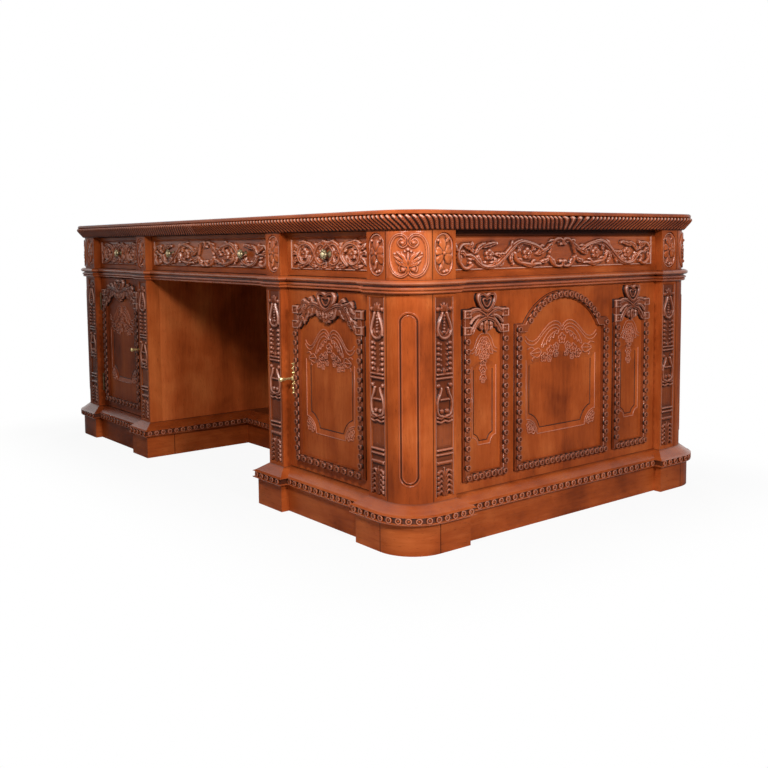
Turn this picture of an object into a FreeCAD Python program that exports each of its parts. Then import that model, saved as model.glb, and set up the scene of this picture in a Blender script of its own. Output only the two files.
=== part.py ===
import FreeCAD, Part
import math
import os

V = FreeCAD.Vector

# Plan of the body, measured at the pilaster faces
body_width = 1990.0
body_depth = 1100.0
column_radius = 77.0
pilaster_width = 72.0
kneehole_width = 780.0
break_depth = 24.0
board = 22.0

# Heights, from the floor up
skirting_height = 74.0
bead_band_height = 23.0
cap_slope_height = 20.0
body_height = 490.0
waist_height = 33.0
frieze_height = 115.0
gadroon_height = 35.0
top_thickness = 10.0

# How far the mouldings stand out from the pilaster faces
plinth_overhang = 24.0
bead_band_overhang = 12.0
waist_overhang = 18.0
top_overhang = 28.0
cross_plinth_setback = 394.0

# Moulding sections: share of the overhang, share of the height
bead_band_shares = ((0.0, 0.0), (0.9, 0.05), (1.0, 0.14), (0.55, 0.22), (0.55, 0.78), (1.0, 0.86), (0.4, 1.0))
waist_shares = ((0.0, 0.0), (0.42, 0.03), (0.58, 0.1), (0.58, 0.19), (0.48, 0.25), (0.68, 0.29), (0.74, 0.37),
                (0.64, 0.46), (0.34, 0.5), (0.34, 0.57), (0.78, 0.62), (1.0, 0.73), (1.0, 0.85), (0.8, 0.95), (0.5, 1.0))
gadroon_shares = ((0.22, 0.0), (0.5, 0.28), (0.98, 0.74), (0.9, 1.0))
gadroon_depth_shares = (0.0, 1.0, 1.0, 0.5)
nosing_shares = ((0.8, 0.0), (0.86, 0.15), (0.86, 0.6), (0.8, 0.85), (0.7, 1.0))

# Gadroons under the top: spacing, number round a corner, hollow between two lobes, lean over the full height,
# and the stretch at the middle of each side over which the lean dies out before it turns the other way
gadroon_pitch = 15.6
gadroon_corner_count = 10
gadroon_hollow = 5.0
gadroon_lean = 30.0
gadroon_turn = 60.0

# Carved recesses and panels
pilaster_border = 7.0
pilaster_recess = 4.0
block_border = 6.0
block_recess = 5.0
sunk_border = 13.0
sunk_depth = 4.0
sunk_slope = 3.0
column_panel_width = 47.0
column_panel_length = 400.0
column_groove_width = 6.0
column_groove_depth = 3.0
bead_frame_width = 20.0
bead_frame_base = 6.0
bead_frame_rise = 5.0
bead_frame_fillet = 3.0
frame_foot_margin = 25.0
frame_head_margin = 45.0
frame_crown_margin = 9.0
door_frame_margin = 40.0
narrow_frame_width = 150.0
narrow_frame_place = 286.0
arched_frame_width = 362.0
centre_arched_frame_width = 560.0
arch_ear_height = 401.0
arch_spring_drop = 20.0
field_gap = 25.0
field_foot = 110.0
field_head = 305.0
field_slope = 15.0
field_depth = 4.0
field_notch = 42.0
field_crown = 14.0
narrow_field_gap = 14.0
narrow_field_slope = 9.0
narrow_field_notch = 20.0

# Doors, hinges and turning latches
door_gap = 2.0
hinge_gap = 2.4
hinge_length = 64.0
hinge_end_distance = 60.0
hinge_leaf = 1.1
hinge_knuckle_radius = 3.5
hinge_pin_radius = 1.6
hinge_pin_clearance = 0.05
hinge_knuckle_gap = 0.2
handle_inset = 20.0
handle_reach = 46.0
handle_neck_radius = 3.2
handle_head_radius = 6.5
handle_collar_radius = 7.0
spindle_radius = 4.0
spindle_clearance = 0.05
cam_length = 35.0
cam_width = 12.0
cam_thickness = 3.0
cam_gap = 0.5
plate_thickness = 2.0
plate_length = 80.0
plate_bar_width = 4.0
plate_lobe_radius = 8.5

# Drawers and their runners
drawer_gap = 1.5
drawer_depth = 440.0
drawer_side = 12.0
drawer_side_gap = 6.0
drawer_side_height = 94.0
drawer_bottom = 6.0
drawer_bottom_lift = 6.0
drawer_back_drop = 6.0
runner_height = 6.0
runner_guide_height = 22.0
runner_clearance = 0.3
knob_radius = 14.0
knob_reach = 26.0
centre_knob_place = 234.0

# Cupboards
cupboard_depth = 490.0
shelf_height = 236.0
shelf_front_gap = 10.0
shelf_clearance = 0.5
cleat_size = 16.0
cleat_end_gap = 40.0

# Spare length of every cutting solid
overrun = 5.0

# Places worked out from the sizes above
half_width = body_width / 2
half_depth = body_depth / 2
arc_x = half_width - column_radius
arc_y = half_depth - column_radius
kneehole_half = kneehole_width / 2
bay_inner = kneehole_half + pilaster_width
bay_outer = arc_x - pilaster_width
bay_width = bay_outer - bay_inner
bay_middle = (bay_outer + bay_inner) / 2
end_field_half = arc_y - pilaster_width
case_wall = break_depth + board
inner_x = half_width - case_wall
inner_y = half_depth - case_wall
band_base = skirting_height
cap_base = band_base + bead_band_height
body_base = cap_base + cap_slope_height
waist_base = body_base + body_height
frieze_base = waist_base + waist_height
gadroon_base = frieze_base + frieze_height
top_base = gadroon_base + gadroon_height
deck_base = frieze_base - board
sub_top_base = top_base - board
plinth_depth = case_wall + board
cross_plinth_y = -half_depth + cross_plinth_setback
door_face = half_depth - break_depth
end_face = half_width - break_depth
handle_height = body_base + body_height / 2
corner_end = arc_x + gadroon_corner_count * gadroon_pitch
quarter_length = corner_end + arc_y
gadroon_count = round(quarter_length / gadroon_pitch)
gadroon_step = quarter_length / (2 * gadroon_count)
corner_turns = {"front_right": 45, "back_right": 135, "back_left": 225, "front_left": 315}
front, right_end, back, left_end = 0, 90, 180, 270


def block(x0, x1, y0, y1, z0, z1):
    return Part.makeBox(x1 - x0, y1 - y0, z1 - z0, V(x0, y0, z0))


def rod(radius, base, axis, length):
    return Part.makeCylinder(radius, length, base, axis)


def mirrored(shape):
    return shape.mirror(V(0, 0, 0), V(1, 0, 0))


def set_on(shape, side, along, plane):
    # A piece drawn with its face on y = 0, looking towards -Y, goes to one side of the desk
    placed = shape.copy()
    placed.translate(V(along, -plane, 0))
    placed.rotate(V(0, 0, 0), V(0, 0, 1), side)
    return placed


def on_corners(shape, names=tuple(corner_turns)):
    # A quarter round drawn about the Z axis, bulging towards -Y, goes to the named corners
    placed = []
    for name in names:
        copy = shape.copy()
        copy.rotate(V(0, 0, 0), V(0, 0, 1), corner_turns[name])
        sign_x = 1 if "right" in name else -1
        sign_y = 1 if "back" in name else -1
        copy.translate(V(sign_x * arc_x, sign_y * arc_y, 0))
        placed.append(copy)
    return placed


def section(shares, overhang, base, height, start=0.0):
    return [(start + overhang * out, base + height * up) for out, up in shares]


def mitred(before, here, after, distance):
    # Moves a corner of a plan line outwards, to the right of the way the line runs
    first = (here - before).normalize()
    second = (after - here).normalize()
    normal_1 = V(first.y, -first.x, 0)
    normal_2 = V(second.y, -second.x, 0)
    return here + (normal_1 + normal_2) * (distance / (1 + normal_1.dot(normal_2)))


def moulding_run(path, depth, profile):
    # The first and last points of the path only give the directions of the end cuts
    points = [V(x, y, 0) for x, y in path]
    corners = [points[i - 1:i + 2] for i in range(1, len(points) - 1)]
    wires = []
    for distance, height in profile:
        outer = [mitred(*corner, distance) for corner in corners]
        inner = [mitred(*corners[-1], -depth), mitred(*corners[0], -depth)]
        ring = [point + V(0, 0, height) for point in outer + inner]
        wires.append(Part.makePolygon(ring + ring[:1]))
    return Part.makeLoft(wires, True, True)


def quarter_round(profile):
    outline = [V(0, 0, profile[0][1])]
    outline += [V(column_radius + distance, 0, height) for distance, height in profile]
    outline.append(V(0, 0, profile[-1][1]))
    face = Part.Face(Part.makePolygon(outline + outline[:1]))
    face.rotate(V(0, 0, 0), V(0, 0, 1), -135)
    return face.revolve(V(0, 0, 0), V(0, 0, 1), 90)


def broken_line(steps, plane):
    # Plan line along one side: pilasters stand on the plane, bays lie behind it by the break
    points = []
    for x0, x1 in steps:
        points += [(x0, -plane), (x1, -plane)]
        if (x0, x1) != steps[-1]:
            points += [(x1, -plane + break_depth), (steps[steps.index((x0, x1)) + 1][0], -plane + break_depth)]
    return points


def with_square_ends(line):
    (x0, y0), (x1, y1) = line[0], line[-1]
    return [(x0 - overrun, y0)] + line + [(x1 + overrun, y1)]


def turned(line, side):
    angle = math.radians(side)
    return [(x * math.cos(angle) - y * math.sin(angle), x * math.sin(angle) + y * math.cos(angle)) for x, y in line]


long_steps = [(-arc_x, -bay_outer), (-bay_inner, -kneehole_half), (kneehole_half, bay_inner), (bay_outer, arc_x)]
short_steps = [(-arc_y, -end_field_half), (end_field_half, arc_y)]
right_steps = long_steps[2:]
side_lines = {front: broken_line(long_steps, half_depth), right_end: broken_line(short_steps, half_width),
              back: broken_line(long_steps, half_depth), left_end: broken_line(short_steps, half_width)}


def ring_of_runs(lines, depth, profile):
    runs = [moulding_run(turned(with_square_ends(line), side), depth, profile) for side, line in lines.items()]
    return runs + on_corners(quarter_round(profile))


def plinth_runs(profile):
    lines = {side: line for side, line in side_lines.items() if side != front}
    runs = ring_of_runs(lines, plinth_depth, profile)
    pedestal = broken_line(right_steps, half_depth)
    wall_back = (kneehole_half, cross_plinth_y)
    wall_front = pedestal[0]
    front_path = [wall_back] + pedestal + [(arc_x + overrun, -half_depth)]
    wall_path = [(-kneehole_half, cross_plinth_y), wall_back, wall_front, pedestal[1]]
    cross_path = [(-kneehole_half, -half_depth), (-kneehole_half, cross_plinth_y), wall_back, wall_front]
    paired = [moulding_run(path, plinth_depth, profile) for path in (front_path, wall_path)]
    return runs + paired + [mirrored(run) for run in paired] + [moulding_run(cross_path, plinth_depth, profile)]


def inside_plan(x0, base, height, x1=inner_x, y0=-inner_y, y1=inner_y):
    # Board that fills the case between the walls, notched round the corner columns on its outer end
    notched = [(x0, y0), (min(arc_x, x1), y0), (min(arc_x, x1), -arc_y), (x1, -arc_y)]
    notched += [(x1, arc_y), (min(arc_x, x1), arc_y), (min(arc_x, x1), y1), (x0, y1)]
    points = [V(x, y, base) for x, y in notched]
    return Part.Face(Part.makePolygon(points + points[:1])).extrude(V(0, 0, height))


def whole_plan(base, height):
    half = inside_plan(0, base, height)
    return half.fuse(mirrored(half)).removeSplitter()


# Outlines of panels, drawn upright on the plane y = 0 and given as closed wires

def box_wire(half, z0, z1, y):
    points = [V(-half, y, z0), V(half, y, z0), V(half, y, z1), V(-half, y, z1)]
    return Part.makePolygon(points + points[:1])


def sunk_pocket(half, z0, z1, depth, slope):
    mouth = box_wire(half, z0, z1, 0)
    floor = box_wire(half - slope, z0 + slope, z1 - slope, depth)
    lead = box_wire(half, z0, z1, -overrun)
    return Part.makeLoft([lead, mouth, floor], True, True)


def arc_edge(start, middle, end):
    return Part.Arc(start, middle, end).toShape()


def field_wire(half, notch, inset, y):
    # Upright field with a low arched head and hollow quarter-round corners at its foot
    side = half - inset
    foot = body_base + field_foot + inset
    head = body_base + field_head - inset
    radius = notch + inset
    hollow = radius * math.sqrt(0.5)
    corner_z = foot - inset
    reach = math.sqrt(radius ** 2 - inset ** 2)
    shoulder = V(side, y, corner_z + reach)
    toe = V(half - reach, y, foot)
    bend = V(half - hollow, y, corner_z + hollow)
    flip = lambda point: V(-point.x, point.y, point.z)
    top_right = V(side, y, head)
    crown = V(0, y, head + field_crown)
    edges = [Part.makeLine(flip(toe), toe), arc_edge(toe, bend, shoulder), Part.makeLine(shoulder, top_right),
             arc_edge(top_right, crown, flip(top_right)), Part.makeLine(flip(top_right), flip(shoulder)),
             arc_edge(flip(shoulder), flip(bend), flip(toe))]
    return Part.Wire(edges)


def field_pocket(half, notch, slope):
    # The outline at the surface is carried straight forward so that the cut leaves no skin
    mouth = field_wire(half, notch, 0, 0)
    floor = field_wire(half, notch, slope, field_depth)
    lead = Part.Face(mouth).extrude(V(0, -overrun, 0))
    return Part.makeLoft([mouth, floor], True, True).fuse(lead)


def frame_blank(width, inset, depth, arched):
    half = width / 2 - inset
    foot = body_base + frame_foot_margin + inset
    head = waist_base - frame_head_margin - inset
    if not arched:
        return block(-half, half, -depth, 0, foot, head)
    ear = body_base + arch_ear_height
    spring = ear - arch_spring_drop
    crown = waist_base - frame_crown_margin
    half_chord = width / 2 - bead_frame_width
    radius = (half_chord ** 2 + (crown - spring) ** 2) / (2 * (crown - spring))
    disc = rod(radius - inset, V(0, 0, crown - radius), V(0, -1, 0), depth)
    above = block(-width, width, -depth, 0, spring, waist_base)
    head = spring if inset > bead_frame_width / 2 else ear - inset
    return block(-half, half, -depth, 0, foot, head).fuse(disc.common(above))


def bead_frame(width, arched=False):
    fillet_inset = bead_frame_width - bead_frame_fillet
    base = frame_blank(width, 0, bead_frame_base, arched)
    base = base.cut(frame_blank(width, bead_frame_width, bead_frame_base + overrun, arched))
    bead = frame_blank(width, bead_frame_fillet, bead_frame_base + bead_frame_rise, arched)
    bead = bead.cut(frame_blank(width, fillet_inset, bead_frame_base + bead_frame_rise + overrun, arched))
    return base.fuse(bead).removeSplitter()


def wide_field(frame_width):
    return field_pocket(frame_width / 2 - bead_frame_width - field_gap, field_notch, field_slope)


def narrow_field():
    half = narrow_frame_width / 2 - bead_frame_width - narrow_field_gap
    return field_pocket(half, narrow_field_notch, narrow_field_slope)


# Top, frieze and waist

def top_panel():
    wires = []
    for distance, height in section(nosing_shares, top_overhang, top_base, top_thickness):
        half_x, half_y = half_width + distance, half_depth + distance
        radius = column_radius + distance
        plate = Part.makePlane(2 * half_x, 2 * half_y, V(-half_x, -half_y, height))
        solid = plate.extrude(V(0, 0, top_thickness))
        uprights = [e for e in solid.Edges if abs(e.tangentAt(e.FirstParameter).z) > 0.5]
        rounded = solid.makeFillet(radius, uprights)
        wires.append(min(rounded.Faces, key=lambda face: face.CenterOfMass.z).OuterWire)
    return Part.makeLoft(wires, True, True)


def quarter_point(along, distance):
    # Front right quarter of the edge: half the front, the rounded corner, half the end
    if along <= arc_x:
        return V(along, -half_depth - distance, 0)
    if along >= corner_end:
        return V(half_width + distance, along - corner_end - arc_y, 0)
    angle = (along - arc_x) / (corner_end - arc_x) * math.pi / 2
    reach = column_radius + distance
    return V(arc_x + reach * math.sin(angle), -arc_y - reach * math.cos(angle), 0)


def leaning(along, up):
    fade = min(along, quarter_length - along, gadroon_turn) / gadroon_turn
    return along - gadroon_lean * up * fade


def gadroon_piece(first, last, inside):
    # Even lines are the hollows and odd ones the crests; both end cuts follow a leaning hollow
    wires = []
    for (out, up), depth in zip(gadroon_shares, gadroon_depth_shares):
        outer = []
        for line in range(first, last + 1):
            sunk = gadroon_hollow * depth if line % 2 == 0 else 0
            outer.append(quarter_point(leaning(line * gadroon_step, up), top_overhang * out - sunk))
        level = V(0, 0, gadroon_base + gadroon_height * up)
        ring = [point + level for point in outer + inside(outer[0], outer[-1])]
        wires.append(Part.makePolygon(ring + ring[:1]))
    return Part.makeLoft(wires, True, True)


def gadroon_quarter():
    last = 2 * gadroon_count
    near = 2 * (math.ceil(arc_x / (2 * gadroon_step)) - 1)
    far = 2 * (math.floor((corner_end + gadroon_lean) / (2 * gadroon_step)) + 1)
    along_front = lambda start, end: [V(end.x, -inner_y, 0), V(start.x, -inner_y, 0)]
    along_end = lambda start, end: [V(inner_x, end.y, 0), V(inner_x, start.y, 0)]
    notch = [V(inner_x, -arc_y, 0), V(arc_x, -arc_y, 0), V(arc_x, -inner_y, 0)]
    round_corner = lambda start, end: [V(inner_x, end.y, 0)] + notch + [V(start.x, -inner_y, 0)]
    return [gadroon_piece(0, near, along_front), gadroon_piece(near, far, round_corner),
            gadroon_piece(far, last, along_end)]


def gadroon_moulding():
    front_half = gadroon_quarter()
    front_half += [mirrored(piece) for piece in front_half]
    return front_half + [piece.mirror(V(0, 0, 0), V(0, 1, 0)) for piece in front_half]


def waist_moulding():
    return ring_of_runs(side_lines, case_wall, section(waist_shares, waist_overhang, waist_base, waist_height))


def frieze_corner():
    return quarter_round([(0, frieze_base), (0, gadroon_base)])


def frieze_block():
    half = pilaster_width / 2
    body = block(-half, half, 0, case_wall, frieze_base, gadroon_base)
    low, high = frieze_base + block_border, gadroon_base - block_border
    radius = half - block_border
    mouth = block(-radius, radius, -overrun, block_recess, low + radius, high - radius)
    ends = [rod(radius, V(0, -overrun, z), V(0, 1, 0), overrun + block_recess) for z in (low + radius, high - radius)]
    return body.cut(mouth.multiFuse(ends))


def frieze_panel(width):
    half = width / 2
    panel = block(-half, half, 0, board, frieze_base, gadroon_base)
    pocket = sunk_pocket(half - sunk_border, frieze_base + sunk_border, gadroon_base - sunk_border,
                         sunk_depth, sunk_slope)
    return panel.cut(pocket)


def pilaster():
    half = pilaster_width / 2
    body = block(-half, half, 0, case_wall, body_base, waist_base)
    pocket = sunk_pocket(half - pilaster_border, body_base + pilaster_border, waist_base - pilaster_border,
                         pilaster_recess, pilaster_recess)
    return body.cut(pocket)


def stadium(half, length, depth):
    straight = length / 2 - half
    middle = body_base + body_height / 2
    bar = block(-half, half, -depth, 0, middle - straight, middle + straight)
    ends = [rod(half, V(0, 0, middle + z), V(0, -1, 0), depth) for z in (-straight, straight)]
    return bar.multiFuse(ends)


def corner_column():
    column = quarter_round([(0, body_base), (0, waist_base)])
    reach = column_radius + overrun
    outer = stadium(column_panel_width / 2, column_panel_length, reach)
    inner = stadium(column_panel_width / 2 - column_groove_width, column_panel_length - 2 * column_groove_width, reach)
    core = rod(column_radius - column_groove_depth, V(0, 0, body_base), V(0, 0, 1), body_height)
    return column.cut(outer.cut(inner).cut(core))


def carried(shape, places):
    return [set_on(shape, side, along, plane) for side, along, plane in places]


long_places = [(sum(step) / 2) for step in long_steps]
short_places = [(sum(step) / 2) for step in short_steps]
front_places = [(front, along, half_depth) for along in long_places]
back_places = [(back, along, half_depth) for along in long_places]
end_places = [(side, along, half_width) for side in (right_end, left_end) for along in short_places]


# Case boards

def end_board():
    panel = block(-end_field_half, end_field_half, 0, board, body_base, waist_base)
    cuts = [wide_field(arched_frame_width)]
    for along in (-narrow_frame_place, narrow_frame_place):
        narrow = narrow_field()
        narrow.translate(V(along, 0, 0))
        cuts.append(narrow)
    for cut in cuts:
        panel = panel.cut(cut)
    return panel


def end_frames():
    frames = [bead_frame(arched_frame_width, True)]
    for along in (-narrow_frame_place, narrow_frame_place):
        frame = bead_frame(narrow_frame_width)
        frame.translate(V(along, 0, 0))
        frames.append(frame)
    return frames


def bay_frame_width():
    return bay_width - 2 * door_frame_margin


def back_board(width, frame_width):
    half = width / 2
    panel = block(-half, half, 0, board, body_base, waist_base)
    return panel.cut(wide_field(frame_width))


def inner_side():
    return block(kneehole_half, kneehole_half + board, -inner_y, inner_y, body_base, deck_base)


def cupboard_back():
    rear = -inner_y + cupboard_depth
    return block(kneehole_half + board, inner_x, rear, rear + board, body_base + board, deck_base)


def pedestal_floor():
    return inside_plan(kneehole_half + board, body_base, board, y0=-inner_y + door_gap)


def shelf():
    base = body_base + shelf_height
    return block(kneehole_half + board + shelf_clearance, inner_x - shelf_clearance,
                 -arc_y + shelf_front_gap, -inner_y + cupboard_depth - shelf_clearance, base, base + board)


def shelf_cleats():
    top = body_base + shelf_height
    y0 = -arc_y + cleat_end_gap
    y1 = -inner_y + cupboard_depth - cleat_end_gap
    near, far = kneehole_half + board, inner_x
    return [block(near, near + cleat_size, y0, y1, top - cleat_size, top),
            block(far - cleat_size, far, y0, y1, top - cleat_size, top)]


def kneehole_platform():
    # Level with the top of the plinth, from the cross plinth to the back plinth, and under both inner sides
    half = kneehole_half + board
    return block(-half, half, cross_plinth_y + plinth_depth, half_depth - plinth_depth, body_base - board, body_base)


def drawer_divider():
    middle = kneehole_half + pilaster_width / 2
    return block(middle - board / 2, middle + board / 2, -inner_y, inner_y, frieze_base, sub_top_base)


def drawer_stops():
    y0 = -door_face + board + drawer_depth + drawer_gap
    middle = kneehole_half + pilaster_width / 2
    centre = block(-middle + board / 2, middle - board / 2, y0, y0 + board, frieze_base, sub_top_base)
    side = block(middle + board / 2, inner_x, y0, y0 + board, frieze_base, sub_top_base)
    return [centre, side, mirrored(side)]


def runner(bay_edge):
    # Step-shaped strip: the drawer side rides on its ledge and is guided by its lip
    ledge_end = bay_edge + drawer_side_gap + drawer_side
    lip = bay_edge + drawer_side_gap - runner_clearance
    y0, length = -inner_y, drawer_depth
    ledge = block(bay_edge, ledge_end, y0, y0 + length, frieze_base, frieze_base + runner_height)
    guide = block(bay_edge, lip, y0, y0 + length, frieze_base, frieze_base + runner_guide_height)
    return ledge.fuse(guide).removeSplitter()


def drawer_runners():
    near = runner(bay_inner)
    far = mirrored(runner(-bay_outer))
    centre = runner(-kneehole_half)
    return [near, far, mirrored(near), mirrored(far), centre, mirrored(centre)]


# Doors

def door():
    width = bay_width - door_gap - hinge_gap
    low, high = body_base + door_gap, waist_base - door_gap
    panel = block(bay_inner + door_gap, bay_inner + door_gap + width, -door_face, -door_face + board, low, high)
    pocket = set_on(wide_field(bay_frame_width()), front, bay_middle, door_face)
    bore = rod(spindle_radius + spindle_clearance, handle_point(overrun), V(0, 1, 0), board + 2 * overrun)
    return panel.cut(pocket).cut(bore)


def handle_point(forward):
    return V(bay_inner + door_gap + handle_inset, -door_face - forward, handle_height)


def door_frame():
    return set_on(bead_frame(bay_frame_width()), front, bay_middle, door_face)


def hinge_axis():
    offset = hinge_knuckle_radius + hinge_knuckle_gap
    return V(bay_outer - offset, -door_face - offset, 0)


def hinge_levels():
    return [body_base + hinge_end_distance, waist_base - hinge_end_distance - hinge_length]


def fixed_hinge(base):
    # Leaf on the pilaster's reveal with the two outer knuckles and the pin
    axis = hinge_axis()
    third = hinge_length / 3
    leaf = block(bay_outer - hinge_leaf, bay_outer, -door_face + hinge_knuckle_gap, -door_face + board,
                 base, base + hinge_length)
    pieces = [rod(hinge_pin_radius, V(axis.x, axis.y, base), V(0, 0, 1), hinge_length)]
    for low in (base, base + 2 * third):
        pieces.append(rod(hinge_knuckle_radius, V(axis.x, axis.y, low), V(0, 0, 1), third))
        pieces.append(block(bay_outer - hinge_leaf, bay_outer, axis.y, -door_face + board, low, low + third))
    return leaf.multiFuse(pieces).removeSplitter()


def moving_hinge(base):
    # Leaf on the door's edge with the bored middle knuckle
    axis = hinge_axis()
    third = hinge_length / 3
    low, high = base + third + hinge_knuckle_gap, base + 2 * third - hinge_knuckle_gap
    edge = bay_outer - hinge_gap
    leaf = block(edge, edge + hinge_leaf, -door_face, -door_face + board, base, base + hinge_length)
    tab = block(edge, edge + hinge_leaf, axis.y, -door_face, low, high)
    knuckle = rod(hinge_knuckle_radius, V(axis.x, axis.y, low), V(0, 0, 1), high - low)
    bore = rod(hinge_pin_radius + hinge_pin_clearance, V(axis.x, axis.y, base), V(0, 0, 1), hinge_length)
    return leaf.multiFuse([tab, knuckle]).removeSplitter().cut(bore)


def turned_piece(point, axis, outline):
    # Revolves (reach, radius) points about the axis through the point
    face = Part.Face(Part.makePolygon([V(r, 0, h) for h, r in outline + outline[:1]]))
    solid = face.revolve(V(0, 0, 0), V(0, 0, 1), 360)
    solid.Placement = FreeCAD.Placement(point, FreeCAD.Rotation(V(0, 0, 1), axis))
    return solid


def escutcheon():
    # Tall narrow plate of round lobes strung on a bar, with the spindle's hole in the middle lobe
    centre = handle_point(0)
    lobe_places_shares = (-0.5, -0.34, -0.19, 0.0, 0.19, 0.34, 0.5)
    lobe_size_shares = (0.32, 0.55, 0.42, 1.0, 0.42, 0.55, 0.32)
    bar = block(centre.x - plate_bar_width / 2, centre.x + plate_bar_width / 2, centre.y - plate_thickness, centre.y,
                centre.z - plate_length / 2, centre.z + plate_length / 2)
    lobes = []
    for place, size in zip(lobe_places_shares, lobe_size_shares):
        middle = centre + V(0, 0, place * plate_length)
        lobes.append(rod(plate_lobe_radius * size, middle, V(0, -1, 0), plate_thickness))
    plate = bar.multiFuse(lobes).removeSplitter()
    return plate.cut(rod(spindle_radius + spindle_clearance, centre + V(0, overrun, 0), V(0, -1, 0), 2 * overrun))


def handle():
    # Flared stem in front of the door, spindle through it and a latch arm behind it, upright at rest
    tail = -(board + cam_gap)
    collar = plate_thickness + spindle_clearance
    collar_share, neck_shares = 0.12, (0.2, 0.55)
    head_shares = ((0.78, 0.8), (0.92, 1.0), (1.0, 0.6), (1.0, 0.0))
    outline = [(tail, 0), (tail, spindle_radius), (collar, spindle_radius), (collar, handle_collar_radius)]
    outline.append((handle_reach * collar_share, handle_collar_radius))
    outline += [(handle_reach * reach, handle_neck_radius) for reach in neck_shares]
    outline += [(handle_reach * reach, handle_head_radius * radius) for reach, radius in head_shares]
    stem = turned_piece(handle_point(0), V(0, -1, 0), outline)
    centre = handle_point(tail)
    arm = block(centre.x - cam_width / 2, centre.x + cam_width / 2, centre.y, centre.y + cam_thickness,
                centre.z - cam_width / 2, centre.z + cam_length)
    return stem.fuse(arm).removeSplitter()


# Drawers

def drawer_front(x0, x1):
    width = x1 - x0 - 2 * drawer_gap
    half = width / 2
    low, high = frieze_base + drawer_gap, gadroon_base - drawer_gap
    panel = block(-half, half, 0, board, low, high)
    pocket = sunk_pocket(half - sunk_border, frieze_base + sunk_border, gadroon_base - sunk_border,
                         sunk_depth, sunk_slope)
    return set_on(panel.cut(pocket), front, (x0 + x1) / 2, door_face)


def drawer_box(x0, x1):
    near = -door_face + board
    far = near + drawer_depth
    left, right = x0 + drawer_side_gap, x1 - drawer_side_gap
    low = frieze_base + runner_height
    high = low + drawer_side_height
    floor = low + drawer_bottom_lift
    inner_left, inner_right = left + drawer_side, right - drawer_side
    return [block(left, inner_left, near, far, low, high), block(inner_right, right, near, far, low, high),
            block(inner_left, inner_right, near, far, floor, floor + drawer_bottom),
            block(inner_left, inner_right, far - drawer_side, far, floor + drawer_bottom, high - drawer_back_drop)]


def knob(x):
    point = V(x, -door_face + sunk_depth, (frieze_base + gadroon_base) / 2)
    reach_shares = (0.0, 0.0, 0.12, 0.2, 0.4, 0.56, 0.74, 0.9, 1.0)
    radius_shares = (0.0, 0.66, 0.62, 0.36, 0.36, 0.9, 1.0, 0.72, 0.0)
    outline = [(knob_reach * reach, knob_radius * radius) for reach, radius in zip(reach_shares, radius_shares)]
    return turned_piece(point, V(0, -1, 0), outline)


drawer_bays = {"left_drawer": (-bay_outer, -bay_inner), "centre_drawer": (-kneehole_half, kneehole_half),
               "right_drawer": (bay_inner, bay_outer)}
knob_places = {"left_drawer": (-bay_middle,), "centre_drawer": (-centre_knob_place, centre_knob_place),
               "right_drawer": (bay_middle,)}

pieces = {}


def keep(name, *solids):
    pieces[name] = solids[0] if len(solids) == 1 else Part.makeCompound(list(solids))


def keep_pair(name, *solids):
    # The right-hand piece and its mirror image on the left
    keep("right_" + name, *solids)
    keep("left_" + name, *[mirrored(solid) for solid in solids])


keep("top_panel", top_panel())
keep("gadroon_moulding", *gadroon_moulding())
keep("sub_top", whole_plan(sub_top_base, board))
keep("frieze_corners", *on_corners(frieze_corner()))
keep("front_frieze_blocks", *carried(frieze_block(), front_places))
keep("back_frieze_blocks", *carried(frieze_block(), back_places))
keep("end_frieze_blocks", *carried(frieze_block(), end_places))
keep("right_frieze_panel", set_on(frieze_panel(2 * end_field_half), right_end, 0, end_face))
keep("left_frieze_panel", set_on(frieze_panel(2 * end_field_half), left_end, 0, end_face))
keep("back_frieze_panels", *[set_on(frieze_panel(x1 - x0), back, (x0 + x1) / 2, door_face)
                             for x0, x1 in drawer_bays.values()])
keep("waist_moulding", *waist_moulding())
keep("drawer_deck", whole_plan(deck_base, board))
keep("drawer_dividers", drawer_divider(), mirrored(drawer_divider()))
keep("drawer_runners", *drawer_runners())
keep("drawer_stops", *drawer_stops())
keep("front_columns", *on_corners(corner_column(), ("front_right", "front_left")))
keep("back_columns", *on_corners(corner_column(), ("back_right", "back_left")))
keep("front_pilasters", *carried(pilaster(), front_places))
keep("back_pilasters", *carried(pilaster(), back_places))
keep("end_pilasters", *carried(pilaster(), end_places))
keep_pair("inner_side", inner_side())
keep("right_end_board", set_on(end_board(), right_end, 0, end_face))
keep("left_end_board", set_on(end_board(), left_end, 0, end_face))
keep("right_end_frames", *[set_on(frame, right_end, 0, end_face) for frame in end_frames()])
keep("left_end_frames", *[set_on(frame, left_end, 0, end_face) for frame in end_frames()])
keep_pair("back_board", set_on(back_board(bay_width, bay_frame_width()), back, -bay_middle, door_face))
keep("centre_back_board", set_on(back_board(kneehole_width, centre_arched_frame_width), back, 0, door_face))
keep("back_frames", set_on(bead_frame(bay_frame_width()), back, -bay_middle, door_face),
     set_on(bead_frame(bay_frame_width()), back, bay_middle, door_face),
     set_on(bead_frame(centre_arched_frame_width, True), back, 0, door_face))
keep_pair("cupboard_back", cupboard_back())
keep_pair("pedestal_floor", pedestal_floor())
keep_pair("shelf", shelf())
keep("shelf_cleats", *shelf_cleats(), *[mirrored(cleat) for cleat in shelf_cleats()])
keep("kneehole_platform", kneehole_platform())
keep("plinth_skirting", *plinth_runs([(plinth_overhang, 0), (plinth_overhang, band_base)]))
keep("plinth_cap", *plinth_runs(section(bead_band_shares, bead_band_overhang, band_base, bead_band_height,
                                        plinth_overhang) + [(0, body_base)]))
keep_pair("door", door())
keep_pair("door_frame", door_frame())
keep("fixed_hinges", *[fixed_hinge(base) for base in hinge_levels()],
     *[mirrored(fixed_hinge(base)) for base in hinge_levels()])
keep_pair("door_hinges", *[moving_hinge(base) for base in hinge_levels()])
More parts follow.
